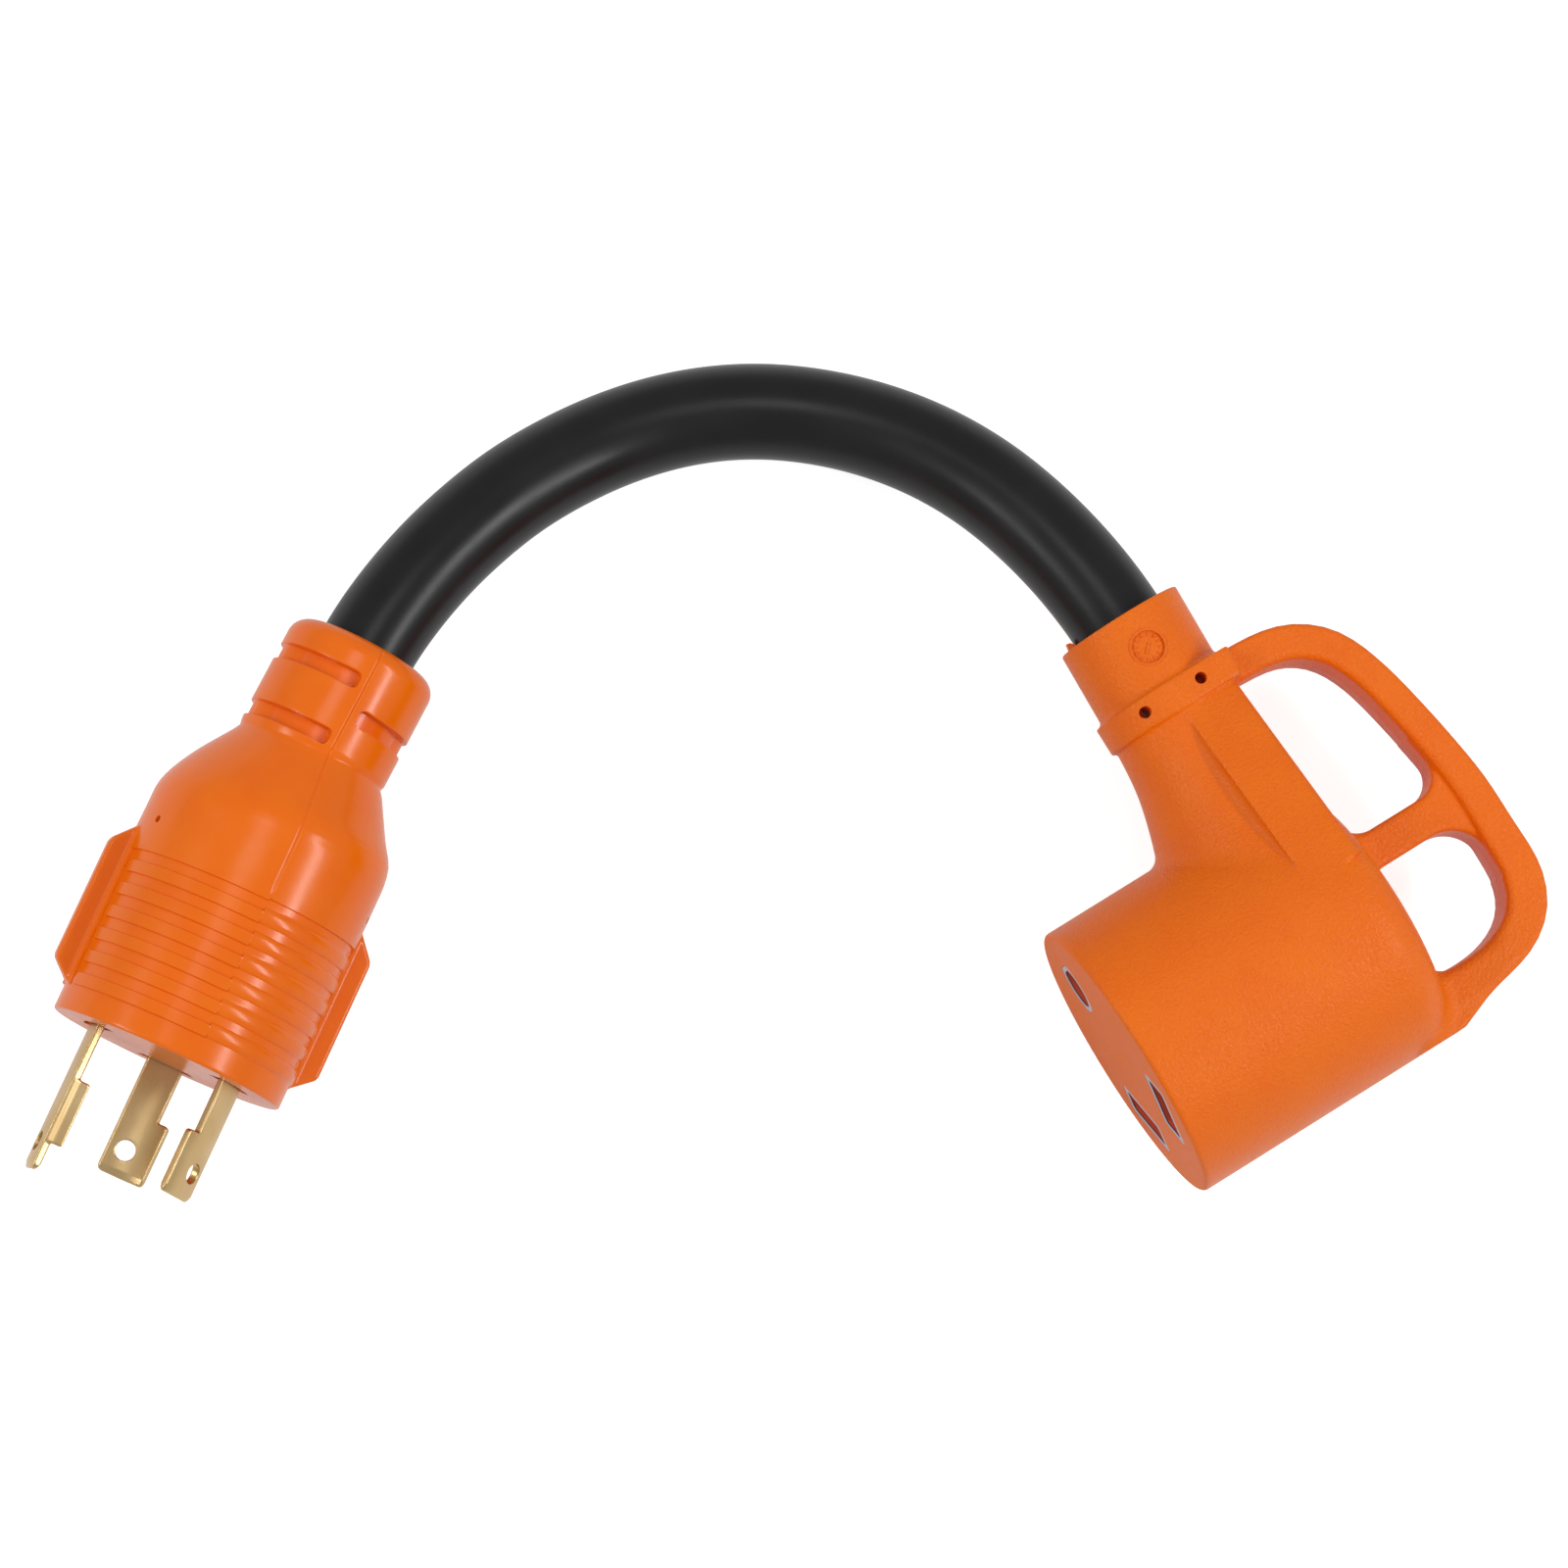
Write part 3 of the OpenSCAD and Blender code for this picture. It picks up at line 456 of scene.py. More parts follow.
def reshaped(piece, tools, operation="DIFFERENCE"):
    """Cuts openings with crisp edges, or joins small pieces on, and clears the tools away."""
    for tool in tools:
        change = piece.modifiers.new("reshape", "BOOLEAN")
        change.operation = operation
        change.solver = "MANIFOLD"
        change.object = tool
    whole = bpy.data.meshes.new_from_object(piece.evaluated_get(bpy.context.evaluated_depsgraph_get()))
    piece.modifiers.clear()
    old = piece.data
    piece.data = whole
    bpy.data.meshes.remove(old)
    for tool in tools:
        bpy.data.objects.remove(tool)
    piece.data.set_sharp_from_angle(angle=math.radians(38))


# The barrel's axis is x, so an opening drawn flat is turned to face along it
across_barrel = turned(90, "Z") @ turned(90, "X")
along_neck = turned(90, "X")
through_face = (face_x - 1, face_x + face_wall + 0.5)
jacket_hole_r = 8.97
wire_way_r = 11.9
wire_throat_r = 8.75
wire_flat_x = 8.7
flat_side = 0.9
ground_window_r = 5.2
vent_r = 1.1


def flattened(radius, flat_x):
    """A circle with a flat at one side."""
    return [(min(u, flat_x), v) for u, v in circle(radius)]


socket_cuts = [
    cutter("cavity", circle(22.2), (face_x + face_wall, 8.15), across_barrel),
    cutter("jacket_bore", circle(jacket_hole_r), (-neck_len - 1, -neck_len + 14.7),
           moved(neck_x, 0, 0) @ along_neck),
    cutter("wire_way", flattened(wire_way_r, wire_flat_x), (-42, -5), along_neck),
    cutter("wire_throat", flattened(wire_throat_r, wire_flat_x), (-neck_len + 13, -41), along_neck),
    cutter("ground_window", flattened(ground_window_r, ground_window_r * flat_side), through_face,
           across_barrel @ moved(*ground_place, 0)),
]
for y, z, tilt in slot_places:
    socket_cuts.append(cutter("slot_window", rounded_slot(14.6, 7.6, 1.1), through_face,
                              across_barrel @ moved(y, z, 0) @ turned(tilt, "Z")))
for x in (-5.9, 5.9):
    socket_cuts.append(cutter("vent", circle(vent_r, 40), (6.9, 16), moved(x, 51.7, 0)))
reshaped(socket, socket_cuts)


def on_collar(name, left, right, low, high):
    """A solid that follows the collar's curve, between two rows of spots and two heights."""
    count = len(left)
    lean = [neck_x + collar_tilt * (v - 62) for u, v in left + right]
    spots = [(u, v, math.sqrt(neck_collar_r ** 2 - (u - middle) ** 2) + height)
             for height in (low, high) for (u, v), middle in zip(left + right, lean)]
    faces = [(0, 2 * count, 3 * count, count), (count - 1, 2 * count - 1, 4 * count - 1, 3 * count - 1)]
    for k in range(count - 1):
        a, b, c, d = k, count + k, 2 * count + k, 3 * count + k
        faces += [(a, b, b + 1, a + 1), (c, c + 1, d + 1, d), (a, a + 1, c + 1, c), (b, d, d + 1, b + 1)]
    return mesh_piece(name, spots, faces, smooth=False)


def on_dial(name, radius, low, high, steps=40):
    """A round pad on the collar where the dial is."""
    turns = [math.pi * (k + 0.02) / (steps + 0.04) for k in range(steps + 1)]
    rows = [[(dial_at[0] - radius * math.cos(a), dial_at[1] + side * radius * math.sin(a)) for a in turns]
            for side in (-1, 1)]
    return on_collar(name, rows[0], rows[1], low, high)


def dash(start, end, width):
    """The two sides of a short straight mark."""
    (ax, ay), (bx, by) = start, end
    length = math.hypot(bx - ax, by - ay)
    sx, sy = -(by - ay) / length * width / 2, (bx - ax) / length * width / 2
    return [(ax - sx, ay - sy), (bx - sx, by - sy)], [(ax + sx, ay + sy), (bx + sx, by + sy)]


# The moulder's dial: a shallow round recess with a raised rim, tick marks and a pointer
dial_at = (0.85, 61.5)
dial_rim_r = 3.4
dial_seat_r = 3.05
tick_reach = (2.0, 2.65)
reshaped(socket, [on_dial("dial_rim", dial_rim_r, -0.6, 0.2)], "UNION")
reshaped(socket, [on_dial("dial_seat", dial_seat_r, -0.36, 1)])
marks = [dash((-0.12, 60.56), (1.47, 62.13), 0.34)]
for k in range(12):
    away = (math.cos(math.radians(30 * k)), math.sin(math.radians(30 * k)))
    marks.append(dash(*[(dial_at[0] + r * away[0], dial_at[1] + r * away[1]) for r in tick_reach], 0.26))
reshaped(socket, [on_collar("dial_mark", *sides, -0.6, -0.1) for sides in marks], "UNION")
# A bit of flash stands up at the rim, beside the cord
flash = [(-9.9, 68.5), (-7.9, 68.5), (-8.3, 69.5), (-8.9, 70.2), (-9.6, 70.4)]
reshaped(socket, [cutter("rim_flash", flash, (-0.6, 1.2), Matrix.Identity(4))], "UNION")
socket.data.transform(Matrix.Translation(socket_place.translation * MM) @ socket_place.to_3x3().to_4x4())


# Soft PVC moulded in a spark-eroded mould: a warm orange with a leathery grain that breaks
# its sheen into glints, and with slight clouds of tone from the mixing of the pigment. The
# grain is drawn a little coarser than the real 0.4 mm, so that it shows. A face that was
# trimmed flat is duller than the rest.
def moulded_pvc(name, orange, grain, depth, gloss, specular, trimmed_to=-1.0):
    pvc = new_material(name)
    place = add(pvc, "ShaderNodeTexCoord", {})
    across = add(pvc, "ShaderNodeSeparateXYZ", {"Vector": place.outputs["Object"]})
    trimmed = add(pvc, "ShaderNodeMath", {0: across.outputs["X"], 1: trimmed_to}, operation="LESS_THAN")
    trimmed_dullness = 0.16
    leather = add(pvc, "ShaderNodeTexNoise", {
        "Vector": place.outputs["Object"], "Scale": 1 / (grain * MM), "Detail": 2.0, "Roughness": 0.5,
        "Distortion": 0.6})
    clouds = add(pvc, "ShaderNodeTexNoise", {
        "Vector": place.outputs["Object"], "Scale": 1 / (11 * MM), "Detail": 4.0, "Roughness": 0.6})
    tone = add(pvc, "ShaderNodeValToRGB", {"Fac": clouds.outputs["Fac"]},
               stops=[(0.3, linear(orange[0])), (0.7, linear(orange[1]))])
    sheen = add(pvc, "ShaderNodeMapRange", {
        "Value": clouds.outputs["Fac"], "From Min": 0.3, "From Max": 0.7,
        "To Min": gloss - 0.04, "To Max": gloss + 0.05})
    sheen = add(pvc, "ShaderNodeMath", {
        0: trimmed.outputs[0], 1: trimmed_dullness, 2: sheen.outputs["Result"]}, operation="MULTIPLY_ADD")
    relief = add(pvc, "ShaderNodeBump", {
        "Height": leather.outputs["Fac"], "Strength": 1.0, "Distance": depth * MM})
    shader = add(pvc, "ShaderNodeBsdfPrincipled", {
        "Base Color": tone.outputs["Color"], "Roughness": sheen.outputs[0],
        "Normal": relief.outputs["Normal"], "IOR": 1.53, "Specular IOR Level": specular})
    return finish_with(pvc, shader)


socket.data.materials.clear()
socket.data.materials.append(moulded_pvc(
    "moulded_pvc_grained", ("#ec6900", "#ef7000"), grain=0.55, depth=0.25, gloss=0.36, specular=0.25,
    trimmed_to=(socket_at[0] + face_x + 0.25) * MM))
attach(socket, "root")
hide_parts("socket_body")


# ---- Plug overmould -------------------------------------------------------------------
# The plug's soft PVC moulding comes from two mould halves that meet on a line midway
# between the wings. The halves don't match quite: on one, the bands are flat strips, and
# on the other they bulge and sit a little further back.
plug_r = 22.55
band_h = 0.5
band_w = 2.35
band_pitch = 4.45
band_first = 4.7 + band_w / 2
bands = 6
half_back = 0.35
ledge = 31.3
collar_r = 14.4
pocket_half_w = 1.5
pocket_depth = 2.0
left_pockets_z = (63.3, 74.8)
right_pocket_z = 69.1
round_over = 3.4
edge_round = 0.45
wing_tip = 26.7
wing_half_t = 1.4
wing_foot_r = 1.1
wing_ends_z = (4.8, 31.4)
blade_circle_r = 14.2
blade_turns = {"line": 257.0, "neutral": 139.0, "ground": 0.0}


def ease(value):
    """From nought to one with soft ends."""
    t = np.clip(value, 0, 1)
    return t * t * (3 - 2 * t)


def plug_radius(angle, z):
    """The plug's radius at an angle of 0 to 180 degrees from one wing and a height z."""
    right_half = angle > 90
    back = np.where(right_half, half_back, 0.0)
    wing_gap = np.where(right_half, angle - 170, 10 - angle) * math.radians(plug_r)
    seat = z - back - band_first
    nearest = np.clip(np.round(seat / band_pitch), 0, bands - 1) * band_pitch
    strip = round_max(np.abs(seat - nearest) - band_w / 2, wing_gap, 0.9)
    bulge = np.sqrt(np.clip(1 - ((seat - nearest) / (band_w / 2 + 0.25)) ** 2, 0, 1))
    bulge *= ease(-wing_gap / 0.8)
    band = np.where(right_half, band_h * bulge, band_h * ease(0.5 - strip / 0.16))
    step_up = band_h * ease((z - back - ledge) / 0.16 + 0.5)
    # Behind the bands, one half stands a hair lower at the line where the halves meet
    mismatch = 0.12 * ease((90.3 - angle) / 0.6) * ease((z - 33) / 8)
    mismatch += 0.16 * np.exp(-((angle - 90) / 0.6) ** 2) * ease((z - 32) / 2)
    radius = plug_r - band_h + np.maximum(band, step_up) - mismatch
    late = -np.interp(z, [43, 48, 60, 62], [0, 1, 1, 0]) * np.cos(np.radians(angle))
    late *= np.where(right_half, 1.1, 0.7)
    shoulder = np.interp(
        z - late, [43, 44, 45.5, 47, 48.5, 50, 59.3, 59.9, 60.5, 61.3, 62, 90],
        [0, -0.04, -0.24, -0.63, -1.22, -2.05, -7.9, -8.2, -8.5, -8.25, -8.15, -8.15])
    pocket_z = np.where(right_half, right_pocket_z, np.where(z < right_pocket_z, *left_pockets_z))
    pocket_end = np.where(right_half, 96 - angle, angle - 84) * math.radians(1) * collar_r
    pocket = round_max(np.abs(z - pocket_z) - pocket_half_w, pocket_end, 1.0)
    from_wing = np.minimum(angle, 180 - angle)
    depth = pocket_depth * np.interp(from_wing, [0, 10, 28], [0.25, 0.35, 1.0])
    radius = radius + shoulder - depth * ease(0.4 - pocket / 0.25)
    past = np.clip(z - plug_len + round_over, 0, round_over)
    return radius - round_over + np.sqrt(round_over ** 2 - past ** 2)


def wing_shape(x, y, z):
    out = np.abs(x) + np.where(x > 0, 0.4, 0)
    front_z, back_z = wing_ends_z
    plate = round_max(out - wing_tip, (out - 22.8 + (front_z - z) * 1.16) / 1.53, 0.6)
    plate = round_max(plate, (out - wing_tip + (z - back_z) * 0.88) / 1.33, 0.6)
    # A hollow fillet where the wing stands on the body
    near = np.clip(plug_r + 0.9 - np.hypot(x, y), 0, wing_foot_r)
    foot = wing_foot_r - np.sqrt(np.maximum(wing_foot_r ** 2 - near ** 2, 0))
    plate = round_max(plate, np.abs(y) - wing_half_t - foot, 0.6)
    return np.maximum(plate, 19.5 - out)


# Rows of points lie close together at each step of the skin and at the line of the halves
row_gap = 0.33
edges = [band_first + k * band_pitch + side * band_w / 2 for k in range(bands) for side in (-1, 1)] + [ledge]
edges += [edge + half_back for edge in edges]
edges += [z + side * pocket_half_w for z in (*left_pockets_z, right_pocket_z) for side in (-1, 1)]
levels = np.r_[np.arange(edge_round, plug_len - round_over, row_gap),
               [edge + shift for edge in edges for shift in (-0.16, -0.08, 0, 0.08, 0.16)],
               plug_len - round_over * (1 - np.sin(np.radians(np.arange(0, 91, 7.5)))),
               edge_round * (1 - np.cos(np.radians([20, 45, 70])))]
levels = np.unique(np.round(levels, 3))
levels = np.r_[levels[:-1][np.diff(levels) > 0.03], levels[-1]]
angle_gap = 0.75
beside_seam = [seam + shift for seam in (90, 270) for shift in (-0.4, -0.2, 0.2, 0.4)]
compass = np.unique(np.r_[np.arange(0, 360, angle_gap), beside_seam])
around, up = np.meshgrid(compass, levels)
plug_skin_r = plug_radius(np.where(around > 180, 360 - around, around), up)
before_edge = np.clip(edge_round - up, 0, edge_round)
plug_skin_r -= edge_round - np.sqrt(edge_round ** 2 - before_edge ** 2)
skin = np.stack([plug_skin_r * np.cos(np.radians(around)),
                 plug_skin_r * np.sin(np.radians(around)), up], -1)
sides = len(compass)
foot_ring = skin[0] * (1 - edge_round / plug_r, 1 - edge_round / plug_r, 0)
skin = np.vstack([foot_ring[None], skin]).reshape(-1, 3)
plug_faces = [face[::-1] for face in tube_faces(len(levels) + 1, sides, 0, True)]
plug_faces += [tuple(range(sides))[::-1], tuple(range(len(levels) * sides, (len(levels) + 1) * sides))]
plug = mesh_piece("plug_overmould", skin, plug_faces)
wing_grid = 0.3
wing_boxes = [((19, -2.8, 0.5), (26.8, 2.8, 40.5)), ((-26.8, -2.8, 0.5), (-19, 2.8, 40.5))]
wings = [moulded_skin("wing", wing_shape, low, high, wing_grid, Matrix.Identity(4))
         for low, high in wing_boxes]
reshaped(plug, wings, "UNION")


def ring_part(mid_r, half_width, thick, steps=14):
    """The outline of a piece of a ring round the plug's axis."""
    half = math.degrees(half_width / mid_r)
    turns = [math.radians(half * (2 * k / steps - 1)) for k in range(steps + 1)]
    outer = [((mid_r + thick / 2) * math.cos(a), (mid_r + thick / 2) * math.sin(a)) for a in turns]
    inner = [((mid_r - thick / 2) * math.cos(a), (mid_r - thick / 2) * math.sin(a)) for a in turns]
    return outer + inner[::-1]


plug_cuts = [cutter("cavity", circle(18.35), (2.5, 40), Matrix.Identity(4)),
             cutter("jacket_bore", circle(jacket_hole_r), (36, plug_len + 1), Matrix.Identity(4))]
for turn_by in blade_turns.values():
    plug_cuts.append(cutter("blade_window", ring_part(blade_circle_r, 5.15, 3.9), (-1, 3),
                            turned(turn_by, "Z")))
for turn_by in (19, 160):
    plug_cuts.append(cutter("pin_mark", circle(0.7, 24), (plug_r - 1.5, plug_r + 2),
                            turned(turn_by, "Z") @ moved(0, 0, 37.4) @ turned(90, "Y")))
reshaped(plug, plug_cuts)

# The collar leans against the body, as the plug was bent when it was still warm
spots = np.empty(len(plug.data.vertices) * 3)
plug.data.vertices.foreach_get("co", spots)
spots = spots.reshape(-1, 3) / MM
lean = ease((spots[:, 2] - plug_pivot + 4) / 8) * math.radians(-collar_lean)
level = placed(spots - (0, 0, plug_pivot), turned(plug_roll, "Z"))
leaned = np.stack([level[:, 0] * np.cos(lean) + level[:, 2] * np.sin(lean), level[:, 1],
                   level[:, 2] * np.cos(lean) - level[:, 0] * np.sin(lean)], 1)
spots = placed(leaned, turned(-plug_roll, "Z")) + (0, 0, plug_pivot)
plug.data.vertices.foreach_set("co", (placed(spots, plug_place) * MM).ravel())
plug.data.update()
plug.data.materials.clear()
plug.data.materials.append(moulded_pvc(
    "moulded_pvc_smooth", ("#ed6900", "#f07000"), grain=0.7, depth=0.01, gloss=0.22, specular=0.28))
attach(plug, "root")
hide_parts("plug_body")


# ---- Blades ---------------------------------------------------------------------------
# The blades are stamped from brass strip and rolled to the circle that they lie on. Two
# have a hook at one side, and the grounding blade is longer and has a flange turned in.
blade_t = 1.5
blade_w = 6.9
blade_lengths = {"line": 22.2, "neutral": 22.2, "ground": 27.9}
hook_out = 2.2
hook_z = -10.2
blade_hole_r = 1.9
hole_from_tip = 5.1
crimp_at = 12.3
crimp_r = 2.5
blade_grid = 0.2


def blade_shape(kind):
    length = blade_lengths[kind]

    def shape(rho, beside, z):
        x, y = rho * np.cos(beside / blade_circle_r), rho * np.sin(beside / blade_circle_r)
        face = np.abs(rho - blade_circle_r) - blade_t / 2
        tip = -length - z
        outline = round_max(np.abs(beside) - blade_w / 2, np.maximum(tip, z - 12.4), 1.0)
        if kind != "ground":
            hook = np.maximum(-blade_w / 2 - hook_out - beside, beside)
            hook = round_max(hook, np.maximum(tip, z - hook_z), 0.7)
            outline = round_min(outline, hook, 0.3)
        tail = np.maximum(np.abs(beside) - 1.7, np.maximum(z - 26, 5 - z))
        outline = np.minimum(outline, tail)
        bevel = (face + (1.3 - length - z) * 0.32) / 1.05
        plate = round_max(np.maximum(face, bevel), outline, 0.28)
        hole = blade_hole_r - np.hypot(beside, z - hole_from_tip + length)
        plate = round_max(plate, hole, 0.15)
        if kind == "ground":
            edge = math.sqrt(blade_circle_r ** 2 - (blade_w / 2) ** 2)
            flange = np.maximum(x - edge - 0.55, edge - 2.75 - x)
            flange = round_max(flange, np.abs(z + 16.3) - 6.1, 0.5)
            flange = round_max(flange, np.abs(y - blade_w / 2 + blade_t / 2) - blade_t / 2, 0.3)
            plate = round_min(plate, flange, 0.4)
        crimp = round_max(np.hypot(x - crimp_at, y) - crimp_r, np.abs(z - 28) - 5, 0.25)
        return round_max(np.minimum(plate, crimp), 1.6 - np.hypot(x - crimp_at, y) - 9 * (z < 22), 0.1)

    return shape


def rolled_round(points):
    """Bends flat strip to the circle that the blades lie on."""
    turn_by = points[:, 1] / blade_circle_r
    return np.stack([points[:, 0] * np.cos(turn_by), points[:, 0] * np.sin(turn_by), points[:, 2]], 1)


# Half-hard brass strip, rolled and stamped: warm yellow metal with fine drawn lines along
# the blade, and slight changes of tone where it was handled.
def rolled_brass(axis_place):
    metal = new_material("rolled_brass")
    place = add(metal, "ShaderNodeTexCoord", {})
    lengthwise = add(metal, "ShaderNodeMapping", {
        "Vector": place.outputs["Object"], "Rotation": axis_place.to_3x3().transposed().to_euler()})
    stretched = add(metal, "ShaderNodeMapping", {
        "Vector": lengthwise.outputs["Vector"], "Scale": (1 / (0.12 * MM), 1 / (0.12 * MM), 1 / (6 * MM))})
    lines = add(metal, "ShaderNodeTexNoise", {
        "Vector": stretched.outputs["Vector"], "Scale": 1.0, "Detail": 3.0})
    patches = add(metal, "ShaderNodeTexNoise", {
        "Vector": place.outputs["Object"], "Scale": 1 / (9 * MM), "Detail": 2.0})
    tone = add(metal, "ShaderNodeValToRGB", {"Fac": patches.outputs["Fac"]},
               stops=[(0.3, linear("#cdac78")), (0.7, linear("#d9bd8c"))])
    dull = add(metal, "ShaderNodeMapRange", {
        "Value": lines.outputs["Fac"], "From Min": 0.3, "From Max": 0.7,
        "To Min": 0.27, "To Max": 0.36})
    relief = add(metal, "ShaderNodeBump", {
        "Height": lines.outputs["Fac"], "Strength": 0.2, "Distance": 0.01 * MM})
    shader = add(metal, "ShaderNodeBsdfPrincipled", {
        "Base Color": tone.outputs["Color"], "Roughness": dull.outputs["Result"], "Metallic": 1.0,
        "Normal": relief.outputs["Normal"]})
    return finish_with(metal, shader)


blade_brass = rolled_brass(plug_place)
for kind, turn_by in blade_turns.items():
    blade = moulded_skin("brass_blade_" + kind, blade_shape(kind), (9.6, -5.9, -blade_lengths[kind]),
                         (15.3, 4.9, 33.2), blade_grid, plug_place @ turned(turn_by, "Z"), rolled_round)
    blade.data.materials.append(blade_brass)
    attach(blade, "root")
    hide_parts("blade_" + kind)


# ---- Inserts --------------------------------------------------------------------------
# The discs that carry the blades and the contacts are moulded from hard nylon and sit
# behind the two faces. Only their rims show in the windows of the faces.


# Moulded nylon: pale grey-lilac and half matt, with a fine grain that keeps it from looking
# wet.
def hard_plastic():
    plastic = new_material("moulded_hard_plastic")
    place = add(plastic, "ShaderNodeTexCoord", {})
    grain = add(plastic, "ShaderNodeTexNoise", {
        "Vector": place.outputs["Object"], "Scale": 1 / (0.6 * MM), "Detail": 4.0})
    tone = add(plastic, "ShaderNodeValToRGB", {"Fac": grain.outputs["Fac"]},
               stops=[(0.3, linear("#b0a9b8")), (0.7, linear("#c0bac6"))])
    relief = add(plastic, "ShaderNodeBump", {
        "Height": grain.outputs["Fac"], "Strength": 0.4, "Distance": 0.02 * MM})
    shader = add(plastic, "ShaderNodeBsdfPrincipled", {
        "Base Color": tone.outputs["Color"], "Roughness": 0.45, "Normal": relief.outputs["Normal"]})
    return finish_with(plastic, shader)


def dress(material, *nodes):
    """Gives CAD pieces that are shown as they are a material."""
    for node in nodes:
        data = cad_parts[node].data
        data.materials.clear()
        data.materials.append(material)


# The carrier of the contacts shows pale only at its rims. Down its openings its colour turns
# red-brown: painted shade, tinted by light that comes through the orange moulding round it.
def carrier_plastic_painted_shade():
    plastic = new_material("carrier_plastic_painted_shade")
    place = add(plastic, "ShaderNodeTexCoord", {})
    level = add(plastic, "ShaderNodeSeparateXYZ", {"Vector": place.outputs["Object"]})
    deep = add(plastic, "ShaderNodeMapRange", {
        "Value": level.outputs["X"], "From Min": (socket_at[0] + face_x + 0.2) * MM,
        "From Max": (socket_at[0] + face_x + 0.3) * MM, "To Min": 0.0, "To Max": 1.0})
    grain = add(plastic, "ShaderNodeTexNoise", {
        "Vector": place.outputs["Object"], "Scale": 1 / (0.6 * MM), "Detail": 4.0})
    pale = add(plastic, "ShaderNodeValToRGB", {"Fac": grain.outputs["Fac"]},
               stops=[(0.3, linear("#b0a9b8")), (0.7, linear("#c0bac6"))])
    # Past the rims the pale plastic gives way to painted red-brown shade with orange light in it
    colour = add(plastic, "ShaderNodeMix", {
        "Factor": deep.outputs["Result"], "A": pale.outputs["Color"], "B": linear("#d4583a")},
        data_type="RGBA")
    shader = add(plastic, "ShaderNodeBsdfPrincipled", {
        "Base Color": colour.outputs["Result"], "Roughness": 0.45})
    return finish_with(plastic, shader)


pale_plastic = hard_plastic()
dress(pale_plastic, "plug_insert", "socket_core_cover")
dress(carrier_plastic_painted_shade(), "socket_core")

# The carrier's rims stand flush with the face, as thin pale borders of the openings
rim_front, rim_back = face_x + 0.04, face_x + 0.14
ground_rim_r, ground_hole_r = 5.1, 4.0
rim_outlines = [
    (rounded_slot(14.5, 7.5, 1.05), rounded_slot(12.3, 5.3, 0.9), moved(y, z, 0) @ turned(tilt, "Z"))
    for y, z, tilt in slot_places]
rim_outlines.append((flattened(ground_rim_r, ground_rim_r * flat_side),
                     flattened(ground_hole_r, ground_hole_r * flat_side), moved(*ground_place, 0)))
rims = []
for outer, inner, rim_place in rim_outlines:
    count = len(outer)
    points = [(u, v, w) for w in (rim_front, rim_back) for ring in (outer, inner) for u, v in ring]
    corners = sum(len(part[0]) for part in rims)
    faces = []
    for k in range(count):
        n = (k + 1) % count
        a, b, c, d = (corners + row * count for row in range(4))
        faces += [(a + k, b + k, b + n, a + n), (c + k, c + n, d + n, d + k),
                  (a + k, a + n, c + n, c + k), (b + k, d + k, d + n, b + n)]
    rims.append((placed(points, socket_place @ across_barrel @ rim_place), faces))
borders = mesh_piece("carrier_rims", np.vstack([part[0] for part in rims]),
                     [face for part in rims for face in part[1]], smooth=False)
borders.data.materials.append(pale_plastic)
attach(borders, "root")


# ---- Contacts -------------------------------------------------------------------------
# The spring contacts are folded from the same brass strip and catch a little light at the
# bottom of the socket's openings.
dress(rolled_brass(socket_place @ turned(90, "Y")), "contact_line", "contact_neutral", "contact_ground")


# ---- Wires, fillers and inner mouldings -----------------------------------------------
# Inside the cord lie three coloured wires of stranded copper with paper-like fillers
# between them. Rigid grey mouldings hold the crimped ends in the plug and the socket.


# Extruded vinyl, and the fibres and the plain moulding that go with it: half gloss, with
# slight clouds of tone.
def coloured_vinyl(name, dark, light):
    vinyl = new_material(name)
    place = add(vinyl, "ShaderNodeTexCoord", {})
    clouds = add(vinyl, "ShaderNodeTexNoise", {
        "Vector": place.outputs["Object"], "Scale": 1 / (3 * MM), "Detail": 3.0})
    tone = add(vinyl, "ShaderNodeValToRGB", {"Fac": clouds.outputs["Fac"]},
               stops=[(0.3, linear(dark)), (0.7, linear(light))])
    shader = add(vinyl, "ShaderNodeBsdfPrincipled", {
        "Base Color": tone.outputs["Color"], "Roughness": 0.4})
    return finish_with(vinyl, shader)


dress(coloured_vinyl("black_wire_vinyl", "#141416", "#1e1e21"), "wire_line")
dress(coloured_vinyl("white_wire_vinyl", "#e2e0d8", "#f0eee8"), "wire_neutral")
dress(coloured_vinyl("green_wire_vinyl", "#27703a", "#2f8245"), "wire_ground")
dress(coloured_vinyl("fibrous_filler", "#c2b694", "#dccfae"), "cord_fillers")
dress(coloured_vinyl("grey_inner_moulding", "#77777d", "#85858b"), "plug_inner_mould", "socket_inner_mould")


# Drawn copper strands: bare red metal whose tone changes from strand to strand
def stranded_copper():
    copper = new_material("stranded_copper")
    place = add(copper, "ShaderNodeTexCoord", {})
    strands = add(copper, "ShaderNodeTexNoise", {
        "Vector": place.outputs["Object"], "Scale": 1 / (0.3 * MM), "Detail": 2.0})
    tone = add(copper, "ShaderNodeValToRGB", {"Fac": strands.outputs["Fac"]},
               stops=[(0.3, linear("#b0683f")), (0.7, linear("#cf8a5c"))])
    shader = add(copper, "ShaderNodeBsdfPrincipled", {
        "Base Color": tone.outputs["Color"], "Metallic": 1.0, "Roughness": 0.35})
    return finish_with(copper, shader)


dress(stranded_copper(), "copper_line", "copper_neutral", "copper_ground")


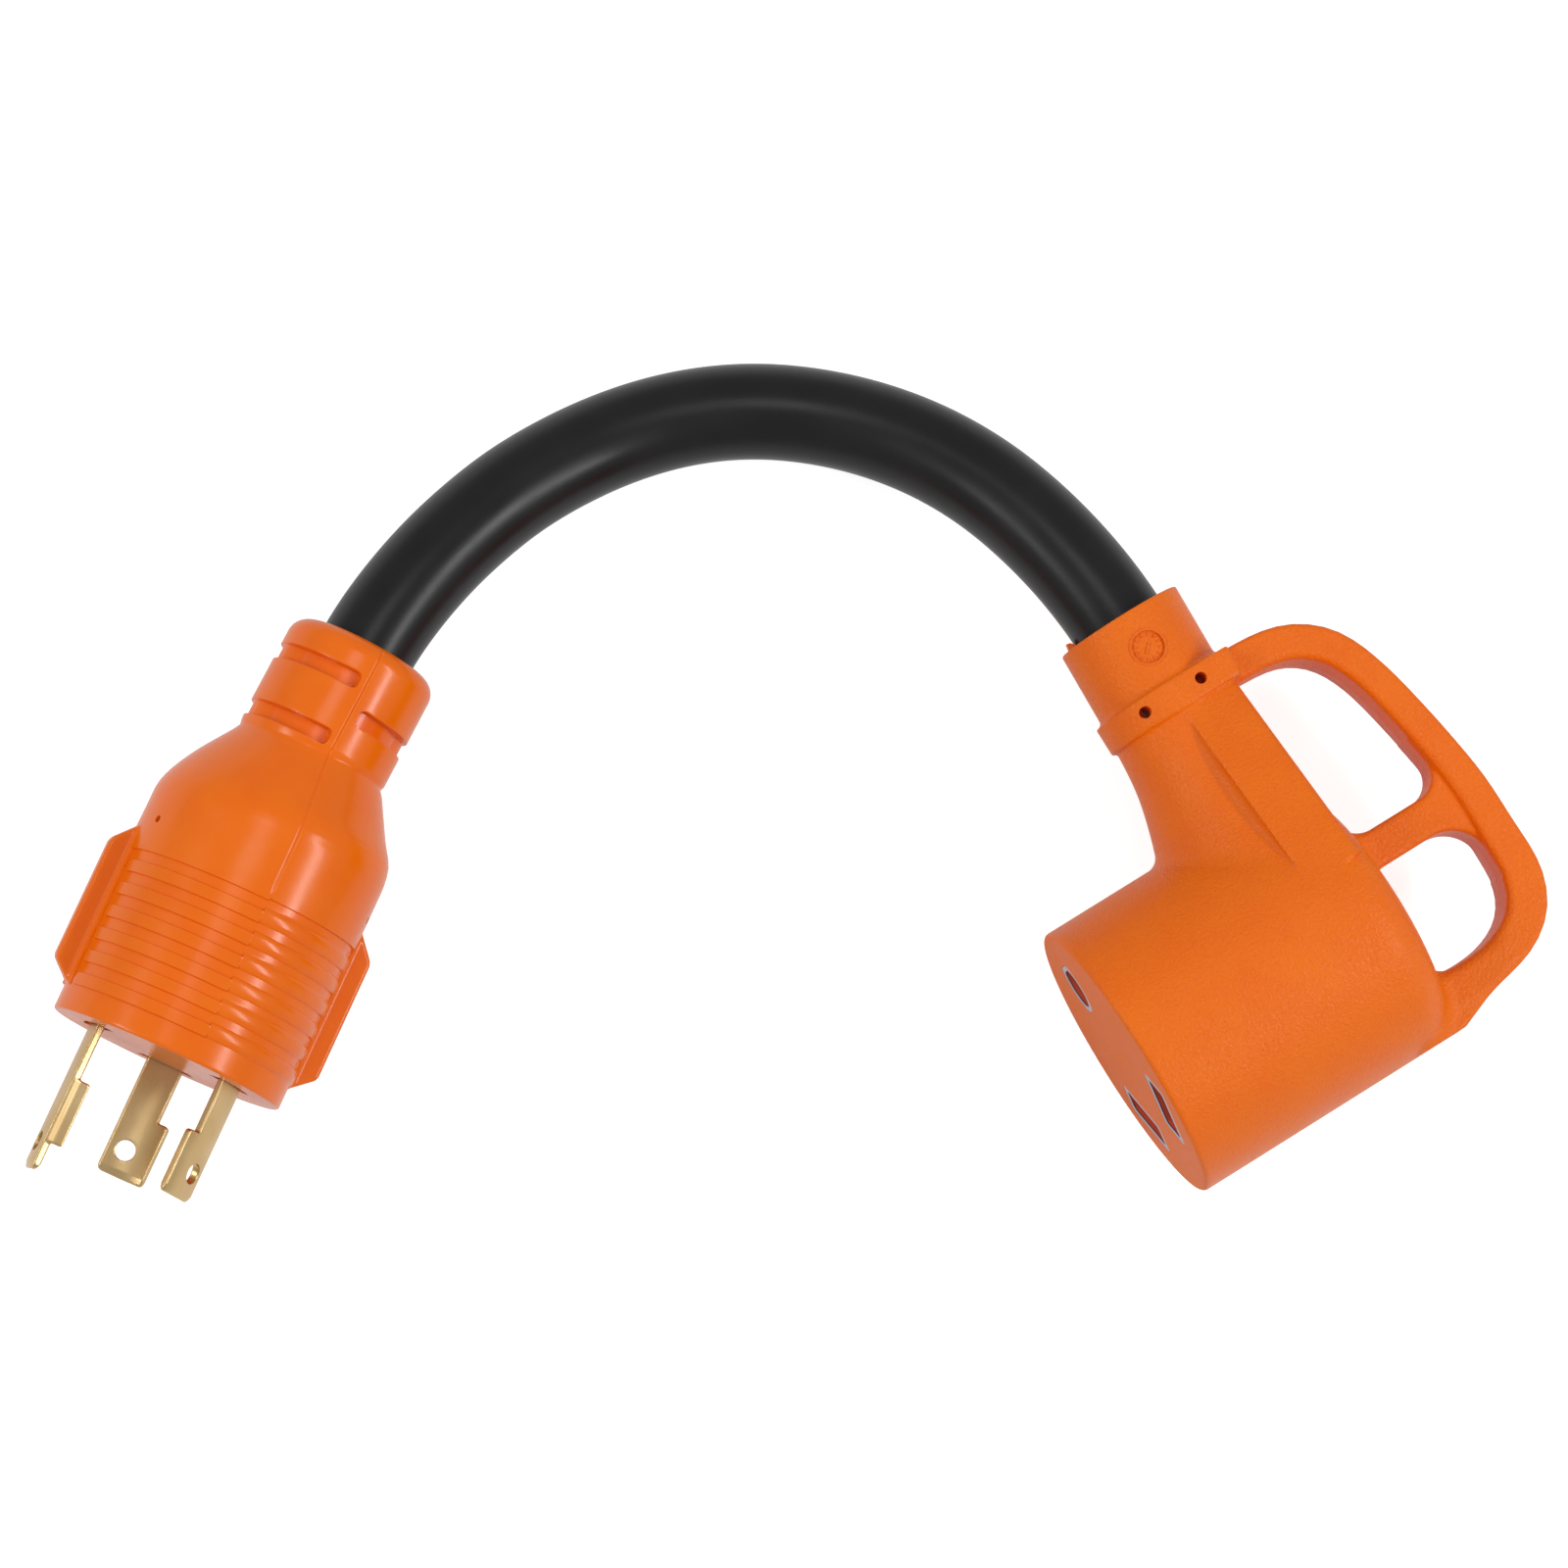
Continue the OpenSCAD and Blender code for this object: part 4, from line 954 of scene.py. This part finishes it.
# ---- Floor and light ------------------------------------------------------------------
# A plain white table, lit softly from all round. A narrow lamp on each side draws the long
# streaks on the cord and the plug, and a small one stands high behind them.
floor_half = 3.0
seen_white = 0.76
mirrored_white = 0.33
floor = mesh_piece("table_top", np.array([(-1, -1, 0), (1, -1, 0), (1, 1, 0), (-1, 1, 0)]) * floor_half / MM,
                   [(0, 1, 2, 3)], smooth=False)
white = new_material("white_table")
rays = add(white, "ShaderNodeLightPath", {})
mirrored = add(white, "ShaderNodeMath", {
    0: rays.outputs["Is Glossy Ray"], 1: rays.outputs["Is Transmission Ray"]}, operation="MAXIMUM")
glow = add(white, "ShaderNodeMath", {0: mirrored.outputs[0], 1: mirrored_white}, operation="MULTIPLY")
glow = add(white, "ShaderNodeMath", {
    0: rays.outputs["Is Camera Ray"], 1: seen_white, 2: glow.outputs[0]}, operation="MULTIPLY_ADD")
shader = add(white, "ShaderNodeBsdfPrincipled", {
    "Base Color": linear("#cdcdcd"), "Roughness": 0.9, "Emission Color": (1, 1, 1, 1),
    "Emission Strength": glow.outputs[0]})
floor.data.materials.append(finish_with(white, shader))


def lamp(name, across, up, height, wide, tall, power):
    """A lamp, placed and turned by the picture's own right and up, that looks at the cord."""
    light = bpy.data.objects.new(name, bpy.data.lights.new(name, "AREA"))
    scene.collection.objects.link(light)
    light.data.shape = "RECTANGLE"
    light.data.size, light.data.size_y = wide, tall
    light.data.energy = power
    away = picture_right * across + picture_up * up + to_camera * height
    side = picture_up.cross(away).normalized()
    pose = Matrix((side, away.normalized().cross(side), away.normalized())).transposed()
    light.matrix_world = Matrix.Translation(looked_at * MM + away) @ pose.to_4x4()


lamp("right_strip", 0.70, -0.08, 0.60, 0.09, 0.5, 3.0)
lamp("left_strip", -0.72, 0.10, 0.66, 0.2, 0.5, 2.4)
lamp("top_lamp", 0.0, 0.36, 0.93, 0.3, 0.3, 0.8)
world = bpy.data.worlds.new("studio")
scene.world = world
world.use_nodes = True
world.node_tree.nodes["Background"].inputs["Color"].default_value = (1, 1, 1, 1)
world.node_tree.nodes["Background"].inputs["Strength"].default_value = 0.52
scene.view_settings.view_transform = "Standard"
